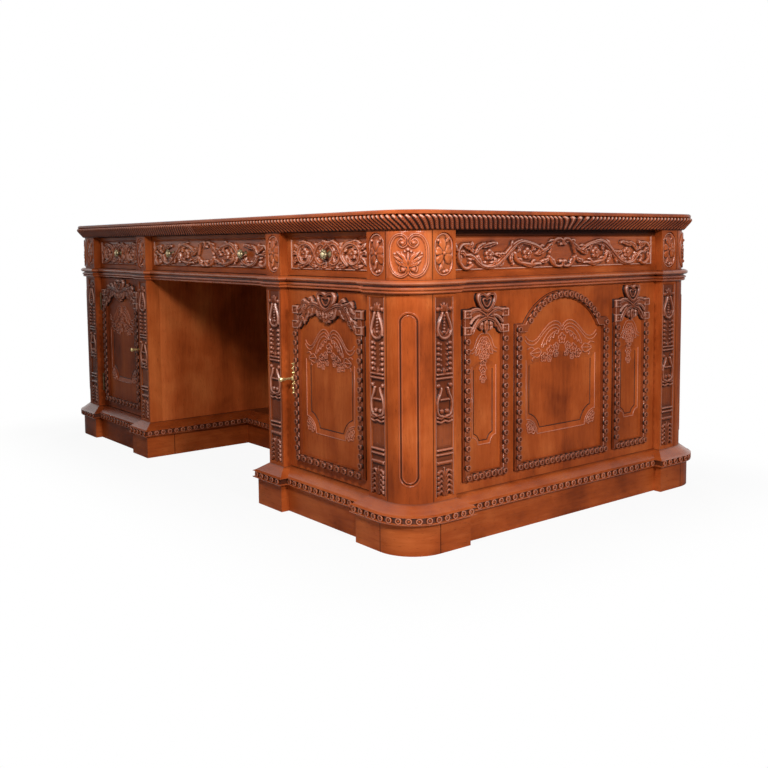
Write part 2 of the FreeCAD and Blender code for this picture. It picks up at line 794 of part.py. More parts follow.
keep_pair("escutcheon", escutcheon())
keep_pair("handle", handle())
for name, (x0, x1) in drawer_bays.items():
    keep(name + "_front", drawer_front(x0, x1))
    keep(name + "_box", *drawer_box(x0, x1))
    keep(name + "_knobs", *[knob(x) for x in knob_places[name]])

os.makedirs("parts", exist_ok=True)
for name, shape in pieces.items():
    print(name, len(shape.Solids), "valid" if shape.isValid() else "NOT VALID")
    shape.exportStep("parts/" + name + ".step")
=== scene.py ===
import bpy
import bmesh
import math
import numpy as np
from mathutils import Matrix, Vector


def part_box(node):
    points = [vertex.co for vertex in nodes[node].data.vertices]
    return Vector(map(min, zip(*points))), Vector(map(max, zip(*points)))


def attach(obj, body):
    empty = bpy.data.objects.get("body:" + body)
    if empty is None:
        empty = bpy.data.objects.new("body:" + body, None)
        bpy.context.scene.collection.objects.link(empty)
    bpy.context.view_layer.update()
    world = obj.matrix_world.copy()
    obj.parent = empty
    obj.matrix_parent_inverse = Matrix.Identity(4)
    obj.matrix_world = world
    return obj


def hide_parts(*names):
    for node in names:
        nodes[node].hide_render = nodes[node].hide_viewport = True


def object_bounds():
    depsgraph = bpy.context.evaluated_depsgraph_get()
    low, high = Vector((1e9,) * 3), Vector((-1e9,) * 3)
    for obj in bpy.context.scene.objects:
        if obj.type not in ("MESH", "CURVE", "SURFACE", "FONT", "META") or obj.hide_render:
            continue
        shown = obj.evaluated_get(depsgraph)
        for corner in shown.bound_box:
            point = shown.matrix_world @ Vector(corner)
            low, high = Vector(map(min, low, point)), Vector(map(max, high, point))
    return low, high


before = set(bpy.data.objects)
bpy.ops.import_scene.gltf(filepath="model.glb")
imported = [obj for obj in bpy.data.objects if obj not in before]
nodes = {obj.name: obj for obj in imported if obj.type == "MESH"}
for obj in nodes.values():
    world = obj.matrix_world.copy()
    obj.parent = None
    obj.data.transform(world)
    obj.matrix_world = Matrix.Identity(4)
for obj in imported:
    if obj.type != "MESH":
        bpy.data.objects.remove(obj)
cadBox = [list(corner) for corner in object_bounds()]
perMetre = 1000      # shapes are worked out in mm
print("frame loaded:", len(nodes), "pieces")


def millimetres(node):
    return [[perMetre * value for value in corner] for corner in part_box(node)]


def reach(node, axis):
    return [corner[axis] for corner in millimetres(node)]


# planes and levels of the desk, read from its CAD pieces
columnLow, columnHigh = millimetres("front_columns")
doorFrameLow, doorFrameHigh = millimetres("right_door_frame")
endFrameHigh = millimetres("right_end_frames")[1]
capLow, capHigh = millimetres("plinth_cap")
bodyBase, waistBase = reach("front_pilasters", 2)
friezeBase, friezeTop = reach("frieze_corners", 2)
gadroonBase, gadroonTop = reach("gadroon_moulding", 2)
bayInner, bayOuter = reach("right_back_board", 0)
kneeholeHalf = reach("right_inner_side", 0)[0]
endFace, endFieldHalf = millimetres("right_end_board")[1][:2]
doorFace = -reach("right_door", 1)[0]
halfWidth, halfDepth = columnHigh[0], -reach("front_pilasters", 1)[0]
columnRadius = columnHigh[1] - columnLow[1]
arcX, arcY = halfWidth - columnRadius, halfDepth - columnRadius
bayMiddle, friezeMiddle = (bayInner + bayOuter) / 2, (friezeBase + friezeTop) / 2
frameFoot, frameHead = doorFrameLow[2], doorFrameHigh[2]
frameRise = -doorFrameLow[1] - doorFace
pilasterWidth = arcX - bayOuter
outerPlace, innerPlace, endPlace = (arcX + bayOuter) / 2, (bayInner + kneeholeHalf) / 2, (arcY + endFieldHalf) / 2
longPlaces, shortPlaces = (-outerPlace, -innerPlace, innerPlace, outerPlace), (-endPlace, endPlace)
sideTurns = {"front": 0, "rightEnd": 90, "back": 180, "leftEnd": 270}
cornerTurns = {"frontRight": (1, -1, 45), "backRight": (1, 1, 135),
               "backLeft": (-1, 1, 225), "frontLeft": (-1, -1, 315)}


# shader maths on sockets
class Sock:
    def __init__(self, tree, out=None):
        self.tree = tree
        self.out = out

    def node(self, kind, settings=None, sockets=None, output=0):
        made = self.tree.nodes.new("ShaderNode" + kind)
        for name, value in (settings or {}).items():
            if name == "stops":
                ramp = made.color_ramp.elements
                for index, (place, colour) in enumerate(value):
                    stop = ramp[index] if index < 2 else ramp.new(place)
                    stop.position, stop.color = place, (*colour, 1)
            else:
                setattr(made, name, value)
        for name, value in (sockets or {}).items():
            plugIn(made, name, value)
        return Sock(self.tree, made.outputs[output])

    def math(self, operation, first, second=0.0, clamp=False):
        return self.node("Math", {"operation": operation, "use_clamp": clamp}, {0: first, 1: second})

    def __add__(self, other):
        return self.math("ADD", self, other)

    __radd__ = __add__

    def __sub__(self, other):
        return self.math("SUBTRACT", self, other)

    def __rsub__(self, other):
        return self.math("SUBTRACT", other, self)

    def __mul__(self, other):
        return self.math("MULTIPLY", self, other)

    def size(self):
        return self.math("ABSOLUTE", self)

    def limited(self):
        return self.math("ADD", self, 0.0, True)

    def step(self, low, high):
        ends = {"Value": self, "From Min": low, "From Max": high}
        return self.node("MapRange", {"interpolation_type": "SMOOTHSTEP"}, ends)

    def blend(self, first, second):
        # self is the share of the second colour
        return self.node("Mix", {"data_type": "RGBA"}, {0: self, 6: first, 7: second}, 2)

    def noise(self, scale, detail, distortion=0.0, roughness=0.5):
        # self is the place
        return self.node("TexNoise", {}, {"Vector": self, "Scale": scale, "Detail": detail,
                                          "Distortion": distortion, "Roughness": roughness})

    def axes(self):
        return [Sock(self.tree, out) for out in self.node("SeparateXYZ", {}, {0: self}).out.node.outputs]


def plugIn(shader, name, value):
    if isinstance(value, Sock):
        value.tree.links.new(value.out, shader.inputs[name])
    else:
        shader.inputs[name].default_value = value


def newFinish(name):
    finish = bpy.data.materials.new(name)
    finish.use_nodes = True
    tree = finish.node_tree
    return finish, tree.nodes["Principled BSDF"], Sock(tree).node("TexCoord", output="Object")


# wood finishes
mahogany = {
    "deep": (0.175, 0.030, 0.0065), "middle": (0.345, 0.066, 0.0130), "light": (0.50, 0.122, 0.030),
    # the pale pinkish colour and its share below are wear and painted highlight together
    "glazeAndPaintedLight": (0.011, 0.0024, 0.0013, 1), "wearAndHighlight": (0.62, 0.29, 0.18, 1), "rubAndHighlight": 0.35,
    "shine": 0.07, "coat": 0.02, "gloss": 0.34,
}
# the carved tones run lighter and pinker than the plain wood as a painted sheen
carvedMahogany = dict(mahogany, deep=(0.205, 0.038, 0.009), middle=(0.385, 0.078, 0.017), light=(0.55, 0.145, 0.040),
                      shine=0.2, coat=0.1, gloss=0.25, rubAndHighlight=0.74, wearAndHighlight=(0.68, 0.39, 0.31, 1))
darkMahogany = dict(carvedMahogany, deep=(0.115, 0.021, 0.006), middle=(0.205, 0.042, 0.0115),
                    light=(0.31, 0.074, 0.023), shine=0.14, coat=0.05, rubAndHighlight=0.62, wearAndHighlight=(0.54, 0.27, 0.20, 1))
ropeMahogany = dict(darkMahogany, deep=(0.15, 0.025, 0.007), middle=(0.27, 0.050, 0.013), light=(0.40, 0.090, 0.026),
                    rubAndHighlight=0.82, wearAndHighlight=(0.70, 0.40, 0.30, 1))
frameMahogany = dict(mahogany, deep=(0.115, 0.021, 0.006), middle=(0.20, 0.041, 0.0115),
                     light=(0.30, 0.070, 0.021), shine=0.16)
# lighter copy of the mahogany, painted light on the kneehole's inner sides that lie in shade
sideMahoganyPaintedLight = dict(mahogany, deep=(0.26, 0.046, 0.010), middle=(0.46, 0.090, 0.020), light=(0.62, 0.16, 0.042))
plainWood = dict(mahogany, deep=(0.20, 0.095, 0.040), middle=(0.33, 0.175, 0.080),
                 light=(0.45, 0.26, 0.125), coat=0.03, gloss=0.5)
woodGrain = {"driftScale": 6.5, "figureScale": 7.0, "grainScale": 120.0, "poreScale": 560.0, "pores": (0.60, 0.74),
             "driftShare": 0.68, "figureShare": 0.56, "grainShare": 0.24, "shift": 0.24, "poreDark": 0.35,
             "bump": {"Strength": 0.12, "Distance": 0.0006}, "coatRoughness": 0.2}
seam = {"width": (0.0005, 0.0019), "dark": 0.85, "depth": 6.0}
# how strongly the glaze colour darkens hollows as glaze and painted shade, with added roughness there and added coat on
# the worn, highlit spots
glazeWearAndPaintedLight = {"carved": (0.97, 0.25, 0.5), "bands": (0.92, 0.2, 0.4)}      # darkest share, added roughness, added coat


def woodFinish(name, across, tones=mahogany, carved=False, joints=False, bands=None):
    # across: 1 on the axes across the grain, a small share on the axis along it
    # joints: dark lines where the corner pieces meet their neighbours
    # bands: colour painted by height, above 0 painted shade and below 0 painted highlight
    finish, shader, place = newFinish(name)

    def stretched(key):
        scale = tuple(woodGrain[key] * share for share in across)
        return place.node("Mapping", {}, {"Vector": place, "Scale": scale})

    drift = place.noise(woodGrain["driftScale"], 3.0, 0.4)
    figure = stretched("figureScale").noise(1.0, 4.0, 0.9)
    grain = stretched("grainScale").noise(1.0, 4.0, roughness=0.6)
    pores = stretched("poreScale").noise(1.0, 2.0).step(*woodGrain["pores"])
    tone = (figure * woodGrain["figureShare"] + grain * woodGrain["grainShare"] + drift * woodGrain["driftShare"]
            - woodGrain["shift"])
    stops = [(0.30, tones["deep"]), (0.72, tones["light"]), (0.5, tones["middle"])]
    colour = place.node("ValToRGB", {"stops": stops}, {0: tone})
    colour = (pores * woodGrain["poreDark"]).blend(colour, tones["glazeAndPaintedLight"])
    rough = tones["gloss"] - 0.05 + grain * 0.10 + pores * 0.12
    hollow, coat = grain * 0.4 - pores, tones["coat"]
    if carved:
        # the mask is above 0 in the hollows for glaze and painted shade, below 0 on the high spots for wear and painted
        # highlight
        mask = place.node("Attribute", {"attribute_name": "glazeAndPaintedLight"}, output="Fac")
        dark, rubbedAndHighlit = mask.step(0.03, 0.80), (0.0 - mask).step(0.10, 0.95)
    if bands:
        low, high, levels = bands
        ends = {"From Min": low / perMetre, "From Max": high / perMetre}
        share = place.node("MapRange", {}, {"Value": place.axes()[2], **ends})
        band = place.node("ValToRGB", {"stops": [(stop, ((1 + value) / 2,) * 3) for stop, value in levels]}, {0: share})
        dark, rubbedAndHighlit = band.step(0.5, 1.0), (1.0 - band).step(0.5, 1.0)
    # dark shares lay the glaze colour (glaze and painted shade), rubbed shares the pale colour (wear and painted
    # highlight); on bands both are painted light only
    if carved or bands:
        darkest, dull, polish = glazeWearAndPaintedLight["carved" if carved else "bands"]
        colour = (rubbedAndHighlit * tones["rubAndHighlight"]).blend(colour, tones["wearAndHighlight"])
        colour = (dark * darkest).blend(colour, tones["glazeAndPaintedLight"])
        rough, coat = rough + dark * dull, coat + rubbedAndHighlit * polish
    if joints:
        x, y = ((axis.size() - arc / perMetre).size() for axis, arc in zip(place.axes(), (arcX, arcY)))
        line = 1.0 - place.math("MINIMUM", x, y).step(*seam["width"])
        colour = (line * seam["dark"]).blend(colour, tones["glazeAndPaintedLight"])
        hollow = hollow - line * seam["depth"]
    plugIn(shader, "Base Color", colour)
    plugIn(shader, "Roughness", rough.limited())
    plugIn(shader, "Normal", place.node("Bump", {}, {**woodGrain["bump"], "Height": hollow}))
    plugIn(shader, "Coat Weight", coat)
    plugIn(shader, "Specular IOR Level", tones["shine"])
    plugIn(shader, "Coat Roughness", woodGrain["coatRoughness"])
    return finish


upright, level, lengthwise = (1, 1, 0.12), (0.12, 0.12, 1), (0.12, 1, 1)
# painted shade in the hollows and painted highlights on the reeds of the waist moulding
waistBands = (waistBase, friezeBase, [
    (0.0, 0.7), (0.05, 0.0), (0.13, -0.4), (0.20, 0.0), (0.24, 0.6), (0.29, 0.0), (0.35, -0.3),
    (0.43, 0.1), (0.50, 0.5), (0.58, 0.5), (0.65, 0.0), (0.76, -0.8), (0.93, 0.0), (1.0, 0.7)])
# painted shade and painted highlights laid in bands up the plinth cap
capBands = (capLow[2], capHigh[2], [
    (0.0, 0.8), (0.03, -0.2), (0.09, -0.3), (0.125, 0.75), (0.41, 0.75), (0.44, -0.6),
    (0.50, 0.0), (0.60, 0.14), (0.90, 0.18), (1.0, 0.6)])
# painted shadow of the gadroon edge across the top of the frieze panels
friezeBands = (friezeBase, friezeTop, [(0.0, 0.1), (0.03, 0.0), (0.80, 0.0), (0.87, 0.75), (1.0, 1.0)])
uprightWood = woodFinish("mahoganyUpright", upright)
levelWood = woodFinish("mahoganyLevel", level)
sideWood = woodFinish("mahoganySide", upright, sideMahoganyPaintedLight)
topWood = woodFinish("mahoganyTop", lengthwise, dict(mahogany, gloss=0.26, coat=0.2))
cornerWood = woodFinish("mahoganyCorner", upright, joints=True)
skirtingWood = woodFinish("mahoganySkirting", level, joints=True)
capWood = woodFinish("mahoganyCap", level, dict(mahogany, shine=0.4, coat=0.16, gloss=0.24), bands=capBands)
friezeWood = woodFinish("mahoganyFrieze", level, bands=friezeBands)
waistWood = woodFinish("mahoganyWaist", level, dict(mahogany, shine=0.5, gloss=0.27), bands=waistBands)
frameWood = woodFinish("mahoganyFrame", upright, frameMahogany)
carvedUpright = woodFinish("mahoganyCarvedUpright", upright, carvedMahogany, carved=True)
carvedLevel = woodFinish("mahoganyCarvedLevel", level, carvedMahogany, carved=True)
darkUpright = woodFinish("mahoganyDarkUpright", upright, darkMahogany, carved=True)
darkLevel = woodFinish("mahoganyDarkLevel", level, darkMahogany, carved=True)
ropeWood = woodFinish("mahoganyRope", level, ropeMahogany, carved=True)
innerUpright = woodFinish("innerWoodUpright", upright, plainWood)
innerLevel = woodFinish("innerWoodLevel", lengthwise, plainWood)


def brassFinish(name, bright, dull, tarnish, gloss):
    finish, shader, place = newFinish(name)
    cloud, specks = place.noise(90.0, 4.0, roughness=0.6), place.noise(700.0, 3.0)
    mask = place.node("Attribute", {"attribute_name": "glazeAndPaintedLight"}, output="Fac")
    patina = (cloud.step(0.42, 0.68) * tarnish + mask.step(0.1, 0.9) * 0.8).limited()
    plugIn(shader, "Base Color", patina.blend((*bright, 1), (*dull, 1)))
    plugIn(shader, "Roughness", (gloss + patina * 0.25 + specks * 0.08).limited())
    plugIn(shader, "Normal", place.node("Bump", {}, {"Strength": 0.08, "Distance": 0.0003, "Height": specks}))
    plugIn(shader, "Metallic", 0.7)
    return finish


antiqueBrass = brassFinish("antiqueBrass", (0.90, 0.72, 0.42), (0.11, 0.075, 0.035), 0.45, 0.28)
hingeBrass = brassFinish("hingeBrass", (0.15, 0.085, 0.038), (0.05, 0.03, 0.015), 0.7, 0.42)
polishedBrass = brassFinish("polishedBrass", (0.78, 0.58, 0.26), (0.30, 0.20, 0.08), 0.30, 0.18)

# CAD pieces by finish; the rest are plain upright wood
nodeFinishes = [
    (waistWood, "waist_moulding"), (skirtingWood, "plinth_skirting"), (capWood, "plinth_cap"),
    (topWood, "top_panel kneehole_platform"), (sideWood, "right_inner_side left_inner_side"),
    (friezeWood, "right_frieze_panel left_frieze_panel back_frieze_panels"),
    (levelWood, "left_drawer_front centre_drawer_front right_drawer_front gadroon_moulding"),
    (cornerWood, "front_columns back_columns front_pilasters back_pilasters end_pilasters"),
    (cornerWood, "frieze_corners front_frieze_blocks back_frieze_blocks end_frieze_blocks"),
    (frameWood, "right_door_frame left_door_frame right_end_frames left_end_frames back_frames"),
    (innerLevel, "sub_top drawer_deck drawer_runners drawer_stops right_shelf left_shelf shelf_cleats"),
    (innerLevel, "right_pedestal_floor left_pedestal_floor left_drawer_box centre_drawer_box right_drawer_box"),
    (innerUpright, "drawer_dividers right_cupboard_back left_cupboard_back"),
    (antiqueBrass, "left_drawer_knobs centre_drawer_knobs right_drawer_knobs"),
    (hingeBrass, "fixed_hinges left_door_hinges right_door_hinges"),
    (polishedBrass, "left_escutcheon right_escutcheon left_handle right_handle"),
]
finishOf = {name: finish for finish, names in nodeFinishes for name in names.split()}
for nodeName, piece in nodes.items():
    for place in piece.material_slots:
        place.material = finishOf.get(nodeName, uprightWood)
print("finishes set:", len(finishOf))


def smoothLine(*points, n=9):
    # points on a smooth line through the given ones
    p = np.asarray(points, float)
    p = np.vstack([2 * p[0] - p[1], p, 2 * p[-1] - p[-2]])
    t = np.linspace(0, 1, n, endpoint=False)[:, None]
    parts = []
    for a, b, c, d in zip(p[:-3], p[1:-2], p[2:-1], p[3:]):
        bend, twist = 2 * a - 5 * b + 4 * c - d, 3 * b - a - 3 * c + d
        parts.append(0.5 * (2 * b + (c - a) * t + bend * t ** 2 + twist * t ** 3))
    return np.vstack(parts + [p[-2:-1]])


def spiral(u, v, first, last, start, end, n=30):
    t = np.linspace(0, 1, n)
    r, a = first + (last - first) * t, np.radians(start + (end - start) * t)
    return np.stack([u + r * np.cos(a), v + r * np.sin(a)], 1)


def oval(half, straight, middle, n):
    # closed outline with straight sides and round ends
    arc = np.linspace(0, math.pi, n)
    top = np.stack([half * np.cos(arc), straight + half * np.sin(arc)], 1)
    return np.vstack([top, -top, top[:1]]) + (0, middle)


def shifted(points, v, scaleU=1.0, scaleV=1.0):
    return [(scaleU * a, v + scaleV * b) for a, b in points]


# relief carving: height maps in mm, laid over each other, below 0 outside every form
class Relief:
    bed = 6.0      # depth where nothing is carved

    def __init__(self, width, low, high, step=1.3, ground=0.25, fall=1.5, groundGlazeAndShade=0.0):
        self.nu, self.nv = round(width / step), round((high - low) / step)
        self.us = np.linspace(-width / 2, width / 2, self.nu + 1)
        self.vs = np.linspace(low, high, self.nv + 1)
        self.u, self.v = np.meshgrid(self.us, self.vs)
        self.h, self.tint = np.full_like(self.u, -self.bed), np.zeros_like(self.u)
        self.ground, self.step, self.fall, self.groundGlazeAndShade = ground, step, fall, groundGlazeAndShade
        self.skirt = self.bed / fall

    def window(self, low, high):
        i0, i1 = np.searchsorted(self.us, [low[0] - self.skirt, high[0] + self.skirt])
        j0, j1 = np.searchsorted(self.vs, [low[1] - self.skirt, high[1] + self.skirt])
        return slice(max(j0 - 1, 0), j1 + 1), slice(max(i0 - 1, 0), i1 + 1)

    def around(self, u, v, reachU, reachV):
        # grid points near a middle, as offsets from it
        where = self.window((u - reachU, v - reachV), (u + reachU, v + reachV))
        return where, self.u[where] - u, self.v[where] - v

    def along(self, points, wide, thin):
        # for each point near a tapering path: share of the way along it, distance from it, half its width there
        path = np.asarray(points, float)
        where = self.window(path.min(0) - max(wide, thin), path.max(0) + max(wide, thin))
        u, v = self.u[where], self.v[where]
        lengths = np.hypot(*np.diff(path, axis=0).T)
        starts = np.concatenate([[0], np.cumsum(lengths)])
        best, share = np.full(u.shape, 1e9), np.zeros(u.shape)
        for a, b, length, begin in zip(path[:-1], path[1:], lengths, starts):
            d = (b - a) / max(length, 1e-9)
            t = np.clip((u - a[0]) * d[0] + (v - a[1]) * d[1], 0, length)
            distance = np.hypot(u - a[0] - t * d[0], v - a[1] - t * d[1])
            closer = distance < best
            best = np.where(closer, distance, best)
            share = np.where(closer, (begin + t) / starts[-1], share)
        return where, share, best, wide + (thin - wide) * share

    def lay(self, where, inside, heights, outside, tint=0.0):
        # outside: distance from the form's edge; tint: extra colour on the form, above 0 painted shade and below 0 a
        # painted highlight
        self.tint[where] = np.where(inside & (heights > self.h[where]), tint, self.tint[where])
        self.h[where] = np.maximum(self.h[where], np.where(inside, heights, -np.maximum(outside, 0) * self.fall))

    def stem(self, points, wide, thin, rise, end=None, groove=0.0, tint=0.0):
        where, t, d, half = self.along(points, wide, thin)
        tall = rise + ((rise if end is None else end) - rise) * t
        q = np.clip(d / half, 0, 1)
        self.lay(where, d < half, tall * np.sqrt(1 - q ** 2) * (1 - groove * np.exp(-(q / 0.34) ** 2)), d - half, tint)

    def strip(self, points, half, height, tint):
        # flat band at one height, such as the floor of a groove
        where, t, d, half = self.along(points, half, half)
        self.lay(where, d < half, np.full(d.shape, height), d - half + max(-height, 0) / self.fall, tint)

    def reeds(self, points, wide, thin, rise, count):
        # scroll band of several round reeds side by side
        where, t, d, half = self.along(points, wide, thin)
        q = np.clip(d / half, 0, 1)
        crown = rise * (1 - 0.35 * q ** 2) * (0.62 + 0.38 * np.abs(np.cos(math.pi * count * q / 2)))
        self.lay(where, d < half, crown, d - half)

    def leaf(self, points, wide, rise, lobes=3, vein=0.35):
        # tapering leaf with a softly lobed edge and a sunk midrib
        where, t, d, half = self.along(points, wide, wide)
        body = wide * np.sin(np.pi * np.clip(t, 0.03, 0.99) ** 0.75) ** 0.7 + 0.3
        edge = body * (0.78 + 0.22 * np.abs(np.sin(np.pi * (lobes * t + 0.25))))
        q = np.clip(d / edge, 0, 1)
        cuts = 0.84 + 0.16 * np.abs(np.sin(np.pi * (lobes * t - 0.45 * d / wide + 0.25)))
        crown = rise * (1 - q ** 2.6) * cuts * (1 - vein * np.exp(-(d / (0.2 * wide)) ** 2))
        self.lay(where, d < edge, crown, d - edge)

    def boss(self, u, v, radius, rise, dip=0.0):
        where, du, dv = self.around(u, v, radius, radius)
        d = np.hypot(du, dv)
        q = np.clip(d / radius, 0, 1)
        self.lay(where, d < radius, rise * np.sqrt(1 - q ** 2) * (1 - dip * np.exp(-(q / 0.38) ** 2)), d - radius)

    def petal(self, u, v, angle, length, wide, rise, cup=0.35):
        # rounded petal from (u, v) outwards, sunk along its middle
        a = math.radians(angle)
        where, du, dv = self.around(u, v, length + wide, length + wide)
        out, side = du * math.cos(a) + dv * math.sin(a), -du * math.sin(a) + dv * math.cos(a)
        half = wide * np.clip(0.45 + 0.55 * out / length, 0.3, 1)
        q = np.hypot((out - length / 2) / (length / 2), side / half)
        hollow = cup * np.exp(-(side / (0.42 * wide)) ** 2) * np.clip(out / length, 0, 1)
        crown = rise * np.sqrt(np.clip(1 - q ** 2, 0, 1)) * (1 - hollow)
        self.lay(where, q < 1, crown, (q - 1) * min(wide, length / 2))

    def flower(self, u, v, radius, petals, rise):
        for k in range(petals):
            self.petal(u, v, 90 + 360 * k / petals, radius, radius * 0.50, rise)
        self.boss(u, v, radius * 0.27, rise * 1.08)

    def cluster(self, u, v, radius, rise):
        # five round petals, each with a dip, about a ball
        for k in range(5):
            a = math.radians(90 + 72 * k)
            self.boss(u + radius * 0.58 * math.cos(a), v + radius * 0.58 * math.sin(a), radius * 0.43, rise, 0.35)
        self.boss(u, v, radius * 0.30, rise * 1.15)

    def eye(self, u, v, radius, rise, end):
        # rolled end of a scroll
        self.stem(spiral(u, v, 0.78 * radius, 0.62 * radius, 20, 380), 0.28 * radius, 0.24 * radius, rise, end)
        self.boss(u, v, 0.42 * radius, end)

    def bar(self, u, v, wide, tall, rise, waves=0.0):
        where, du, dv = self.around(u, v, wide / 2, tall)
        dv = np.abs(dv - waves * np.cos(4 * np.pi * du / wide))
        outside = np.maximum(dv - tall / 2, np.abs(du) - wide / 2)
        q = np.clip(dv / (tall / 2), 0, 1)
        ends = np.clip((wide / 2 - np.abs(du)) / 1.6, 0, 1)
        self.lay(where, outside < 0, rise * np.sqrt(1 - q ** 2) * np.sqrt(ends), outside)

    def tile(self, u, v, wide, tall, rise, rim=4.0):
        # square-cut block with a raised rim, a sunk field and a stud
        where, du, dv = self.around(u, v, wide / 2, tall / 2)
        inside = np.minimum(wide / 2 - np.abs(du), tall / 2 - np.abs(dv))
        height = rise * np.clip(inside / 1.6, 0, 1) - rise * 0.45 * np.clip((inside - rim) / 1.4, 0, 1)
        self.lay(where, inside > 0, height, -inside)
        self.boss(u, v, min(wide, tall) * 0.2, rise * 0.9)

    def heart(self, u, v, half, tall):
        # heart-shaped rim with a smaller heart inside it, and a little painted shade on the low fill within the rim
        outline = smoothLine((0, -0.50), (0.42, -0.36), (0.80, -0.02), (0.96, 0.28),
                             (0.84, 0.47), (0.48, 0.50), (0.16, 0.42), (0, 0.32))
        where, du, dv = self.around(u, v, half, tall / 2)
        q = np.hypot(du / (0.90 * half), (dv - 0.03 * tall) / (0.46 * tall))
        self.lay(where, q < 1, 5.0 * np.sqrt(np.clip(1 - q ** 2, 0, 1)) ** 0.6, (q - 1) * 0.46 * tall, 0.25)
        self.stem(shifted(outline, v, half, tall), 0.17 * half, 0.15 * half, 11.0, 10.4, 0.3)
        self.stem(shifted(outline, v, 0.46 * half, 0.46 * tall), 0.1 * half, 0.1 * half, 8.0)

    def draw(self, design, lift=0.0, stretch=1.0):
        # design: for each kind of form, pairs of its sizes and the paths or middles of those sizes
        for kind, form in (("reeds", self.reeds), ("stems", self.stem), ("leaves", self.leaf)):
            for sizes, paths in design.get(kind, ()):
                for path in paths:
                    line = shifted(smoothLine(*path) if len(path) > 2 else path, lift, stretch)
                    form(line, *sizes)
                    if kind != "leaves" and "sprigs" in design:
                        sprigs(self, line, lift, *design["sprigs"])
        for kind, form in (("balls", self.boss), ("bars", self.bar), ("tiles", self.tile), ("eyes", self.eye),
                           ("flowers", self.flower), ("clusters", self.cluster), ("hearts", self.heart)):
            for sizes, middles in design.get(kind, ()):
                for u, v in middles:
                    form(u * stretch, v + lift, *sizes)
        return self

    def mirrored(self):
        other = self.h[:, ::-1]
        self.tint = np.where(other > self.h, self.tint[:, ::-1], self.tint)
        self.h = np.maximum(self.h, other)
        return self

    def padded(self, pad, reach):
        # lifts every carved form on a base of the given thickness, with dark shade close round it
        shade = (self.h < 0) & (self.h > -reach * self.fall)
        self.tint = np.where(shade, 0.85, self.tint)
        self.h = np.where(shade, 0.3, self.h + pad * np.clip(self.h / 1.2 + 0.5, 0, 1))
        return self

    def blurred(self, heights, size):
        width = max(1, round(size / self.step))
        out, n = heights, 2 * width
        for axis in (0, 1):
            padding = [(width, width) if a == axis else (0, 0) for a in (0, 1)]
            total = np.cumsum(np.pad(out, padding, mode="edge"), axis=axis)
            count = total.shape[axis]
            out = (np.take(total, range(n, count), axis) - np.take(total, range(0, count - n), axis)) / n
        return out

    def glazeAndPaintedLight(self):
        # above 0 in the hollows and along the foot of each form, glaze and painted shade; below 0 on the high spots,
        # wear and painted highlight
        solid = np.maximum(self.h, max(self.ground, 0))
        close, broad = self.blurred(solid, 3.4) - solid, self.blurred(solid, 9.0) - solid
        onGround = np.clip(1 - (self.h - self.ground) / 0.8, 0, 1)
        dark = np.clip(close / 1.5 + np.maximum(broad, 0) / 5, 0, 1.2) * (1 - 0.62 * onGround)
        # the ground term darkens the bare ground by the forms, as glaze and painted shade
        return dark + np.clip(close / 3.2, -1, 0) + self.groundGlazeAndShade * onGround + self.tint

    def heights(self):
        rimU = np.minimum(self.u - self.us[0], self.us[-1] - self.u)
        rim = np.minimum(rimU, np.minimum(self.v - self.vs[0], self.vs[-1] - self.v))
        sunk = self.ground - 0.8 * np.clip(1 - rim / 2.0, 0, 1) if self.ground > 0 else self.ground
        return np.maximum(self.h, sunk)


def onSide(side, along, plane):
    turn = math.radians(sideTurns[side])
    c, s = math.cos(turn), math.sin(turn)

    def place(u, v, h):
        x, y = u + along, -(plane + h)
        return np.stack([x * c - y * s, x * s + y * c, v], -1) / perMetre
    return place


def onCorner(corner):
    signX, signY, degrees = cornerTurns[corner]

    def place(u, v, h):
        angle, out = u / columnRadius + math.radians(degrees), columnRadius + h
        return np.stack([signX * arcX + out * np.sin(angle), signY * arcY - out * np.cos(angle), v], -1) / perMetre
    return place


# meshes and pieces
def meshOf(name, bm):
    mesh = bpy.data.meshes.new(name)
    bm.to_mesh(mesh)
    bm.free()
    return mesh


def joinedUp(mesh, gap):
    # closes the seams of a mesh and turns its faces outward
    bm = bmesh.new()
    bm.from_mesh(mesh)
    bmesh.ops.remove_doubles(bm, verts=bm.verts[:], dist=gap)
    bmesh.ops.recalc_face_normals(bm, faces=bm.faces[:])
    bm.to_mesh(mesh)
    bm.free()


def openEdges(bm):
    return [edge for edge in bm.edges if edge.is_boundary]


def spotsOf(mesh):
    spots = np.empty(len(mesh.vertices) * 3)
    mesh.vertices.foreach_get("co", spots)
    return spots.reshape(-1, 3)


def gridIndex(spots, count):
    return np.rint((spots + 1) / 2 * count).astype(int)


def setGlazeAndPaintedLight(mesh, values):
    mesh.attributes.new("glazeAndPaintedLight", "FLOAT", "POINT").data.foreach_set("value", values)
    mesh.polygons.foreach_set("use_smooth", np.ones(len(mesh.polygons), bool))


def addObject(name, data):
    made = bpy.data.objects.new(name, data)
    bpy.context.scene.collection.objects.link(made)
    return made


def dressed(name, mesh, body, finish, slotName="mahogany"):
    piece = addObject(name, mesh)
    mesh.materials.append(finish)
    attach(piece, body)
    return piece


def newPiece(name, parts, *dress):
    # parts: (mesh, glaze and painted light mask) pairs, joined in one piece
    whole, masks = bmesh.new(), []
    for mesh, mask in parts:
        whole.from_mesh(mesh)
        masks.append(mask)
        bpy.data.meshes.remove(mesh)
    mesh = meshOf(name, whole)
    setGlazeAndPaintedLight(mesh, np.concatenate(masks))
    return dressed(name, mesh, *dress)


slabBack = 2.0


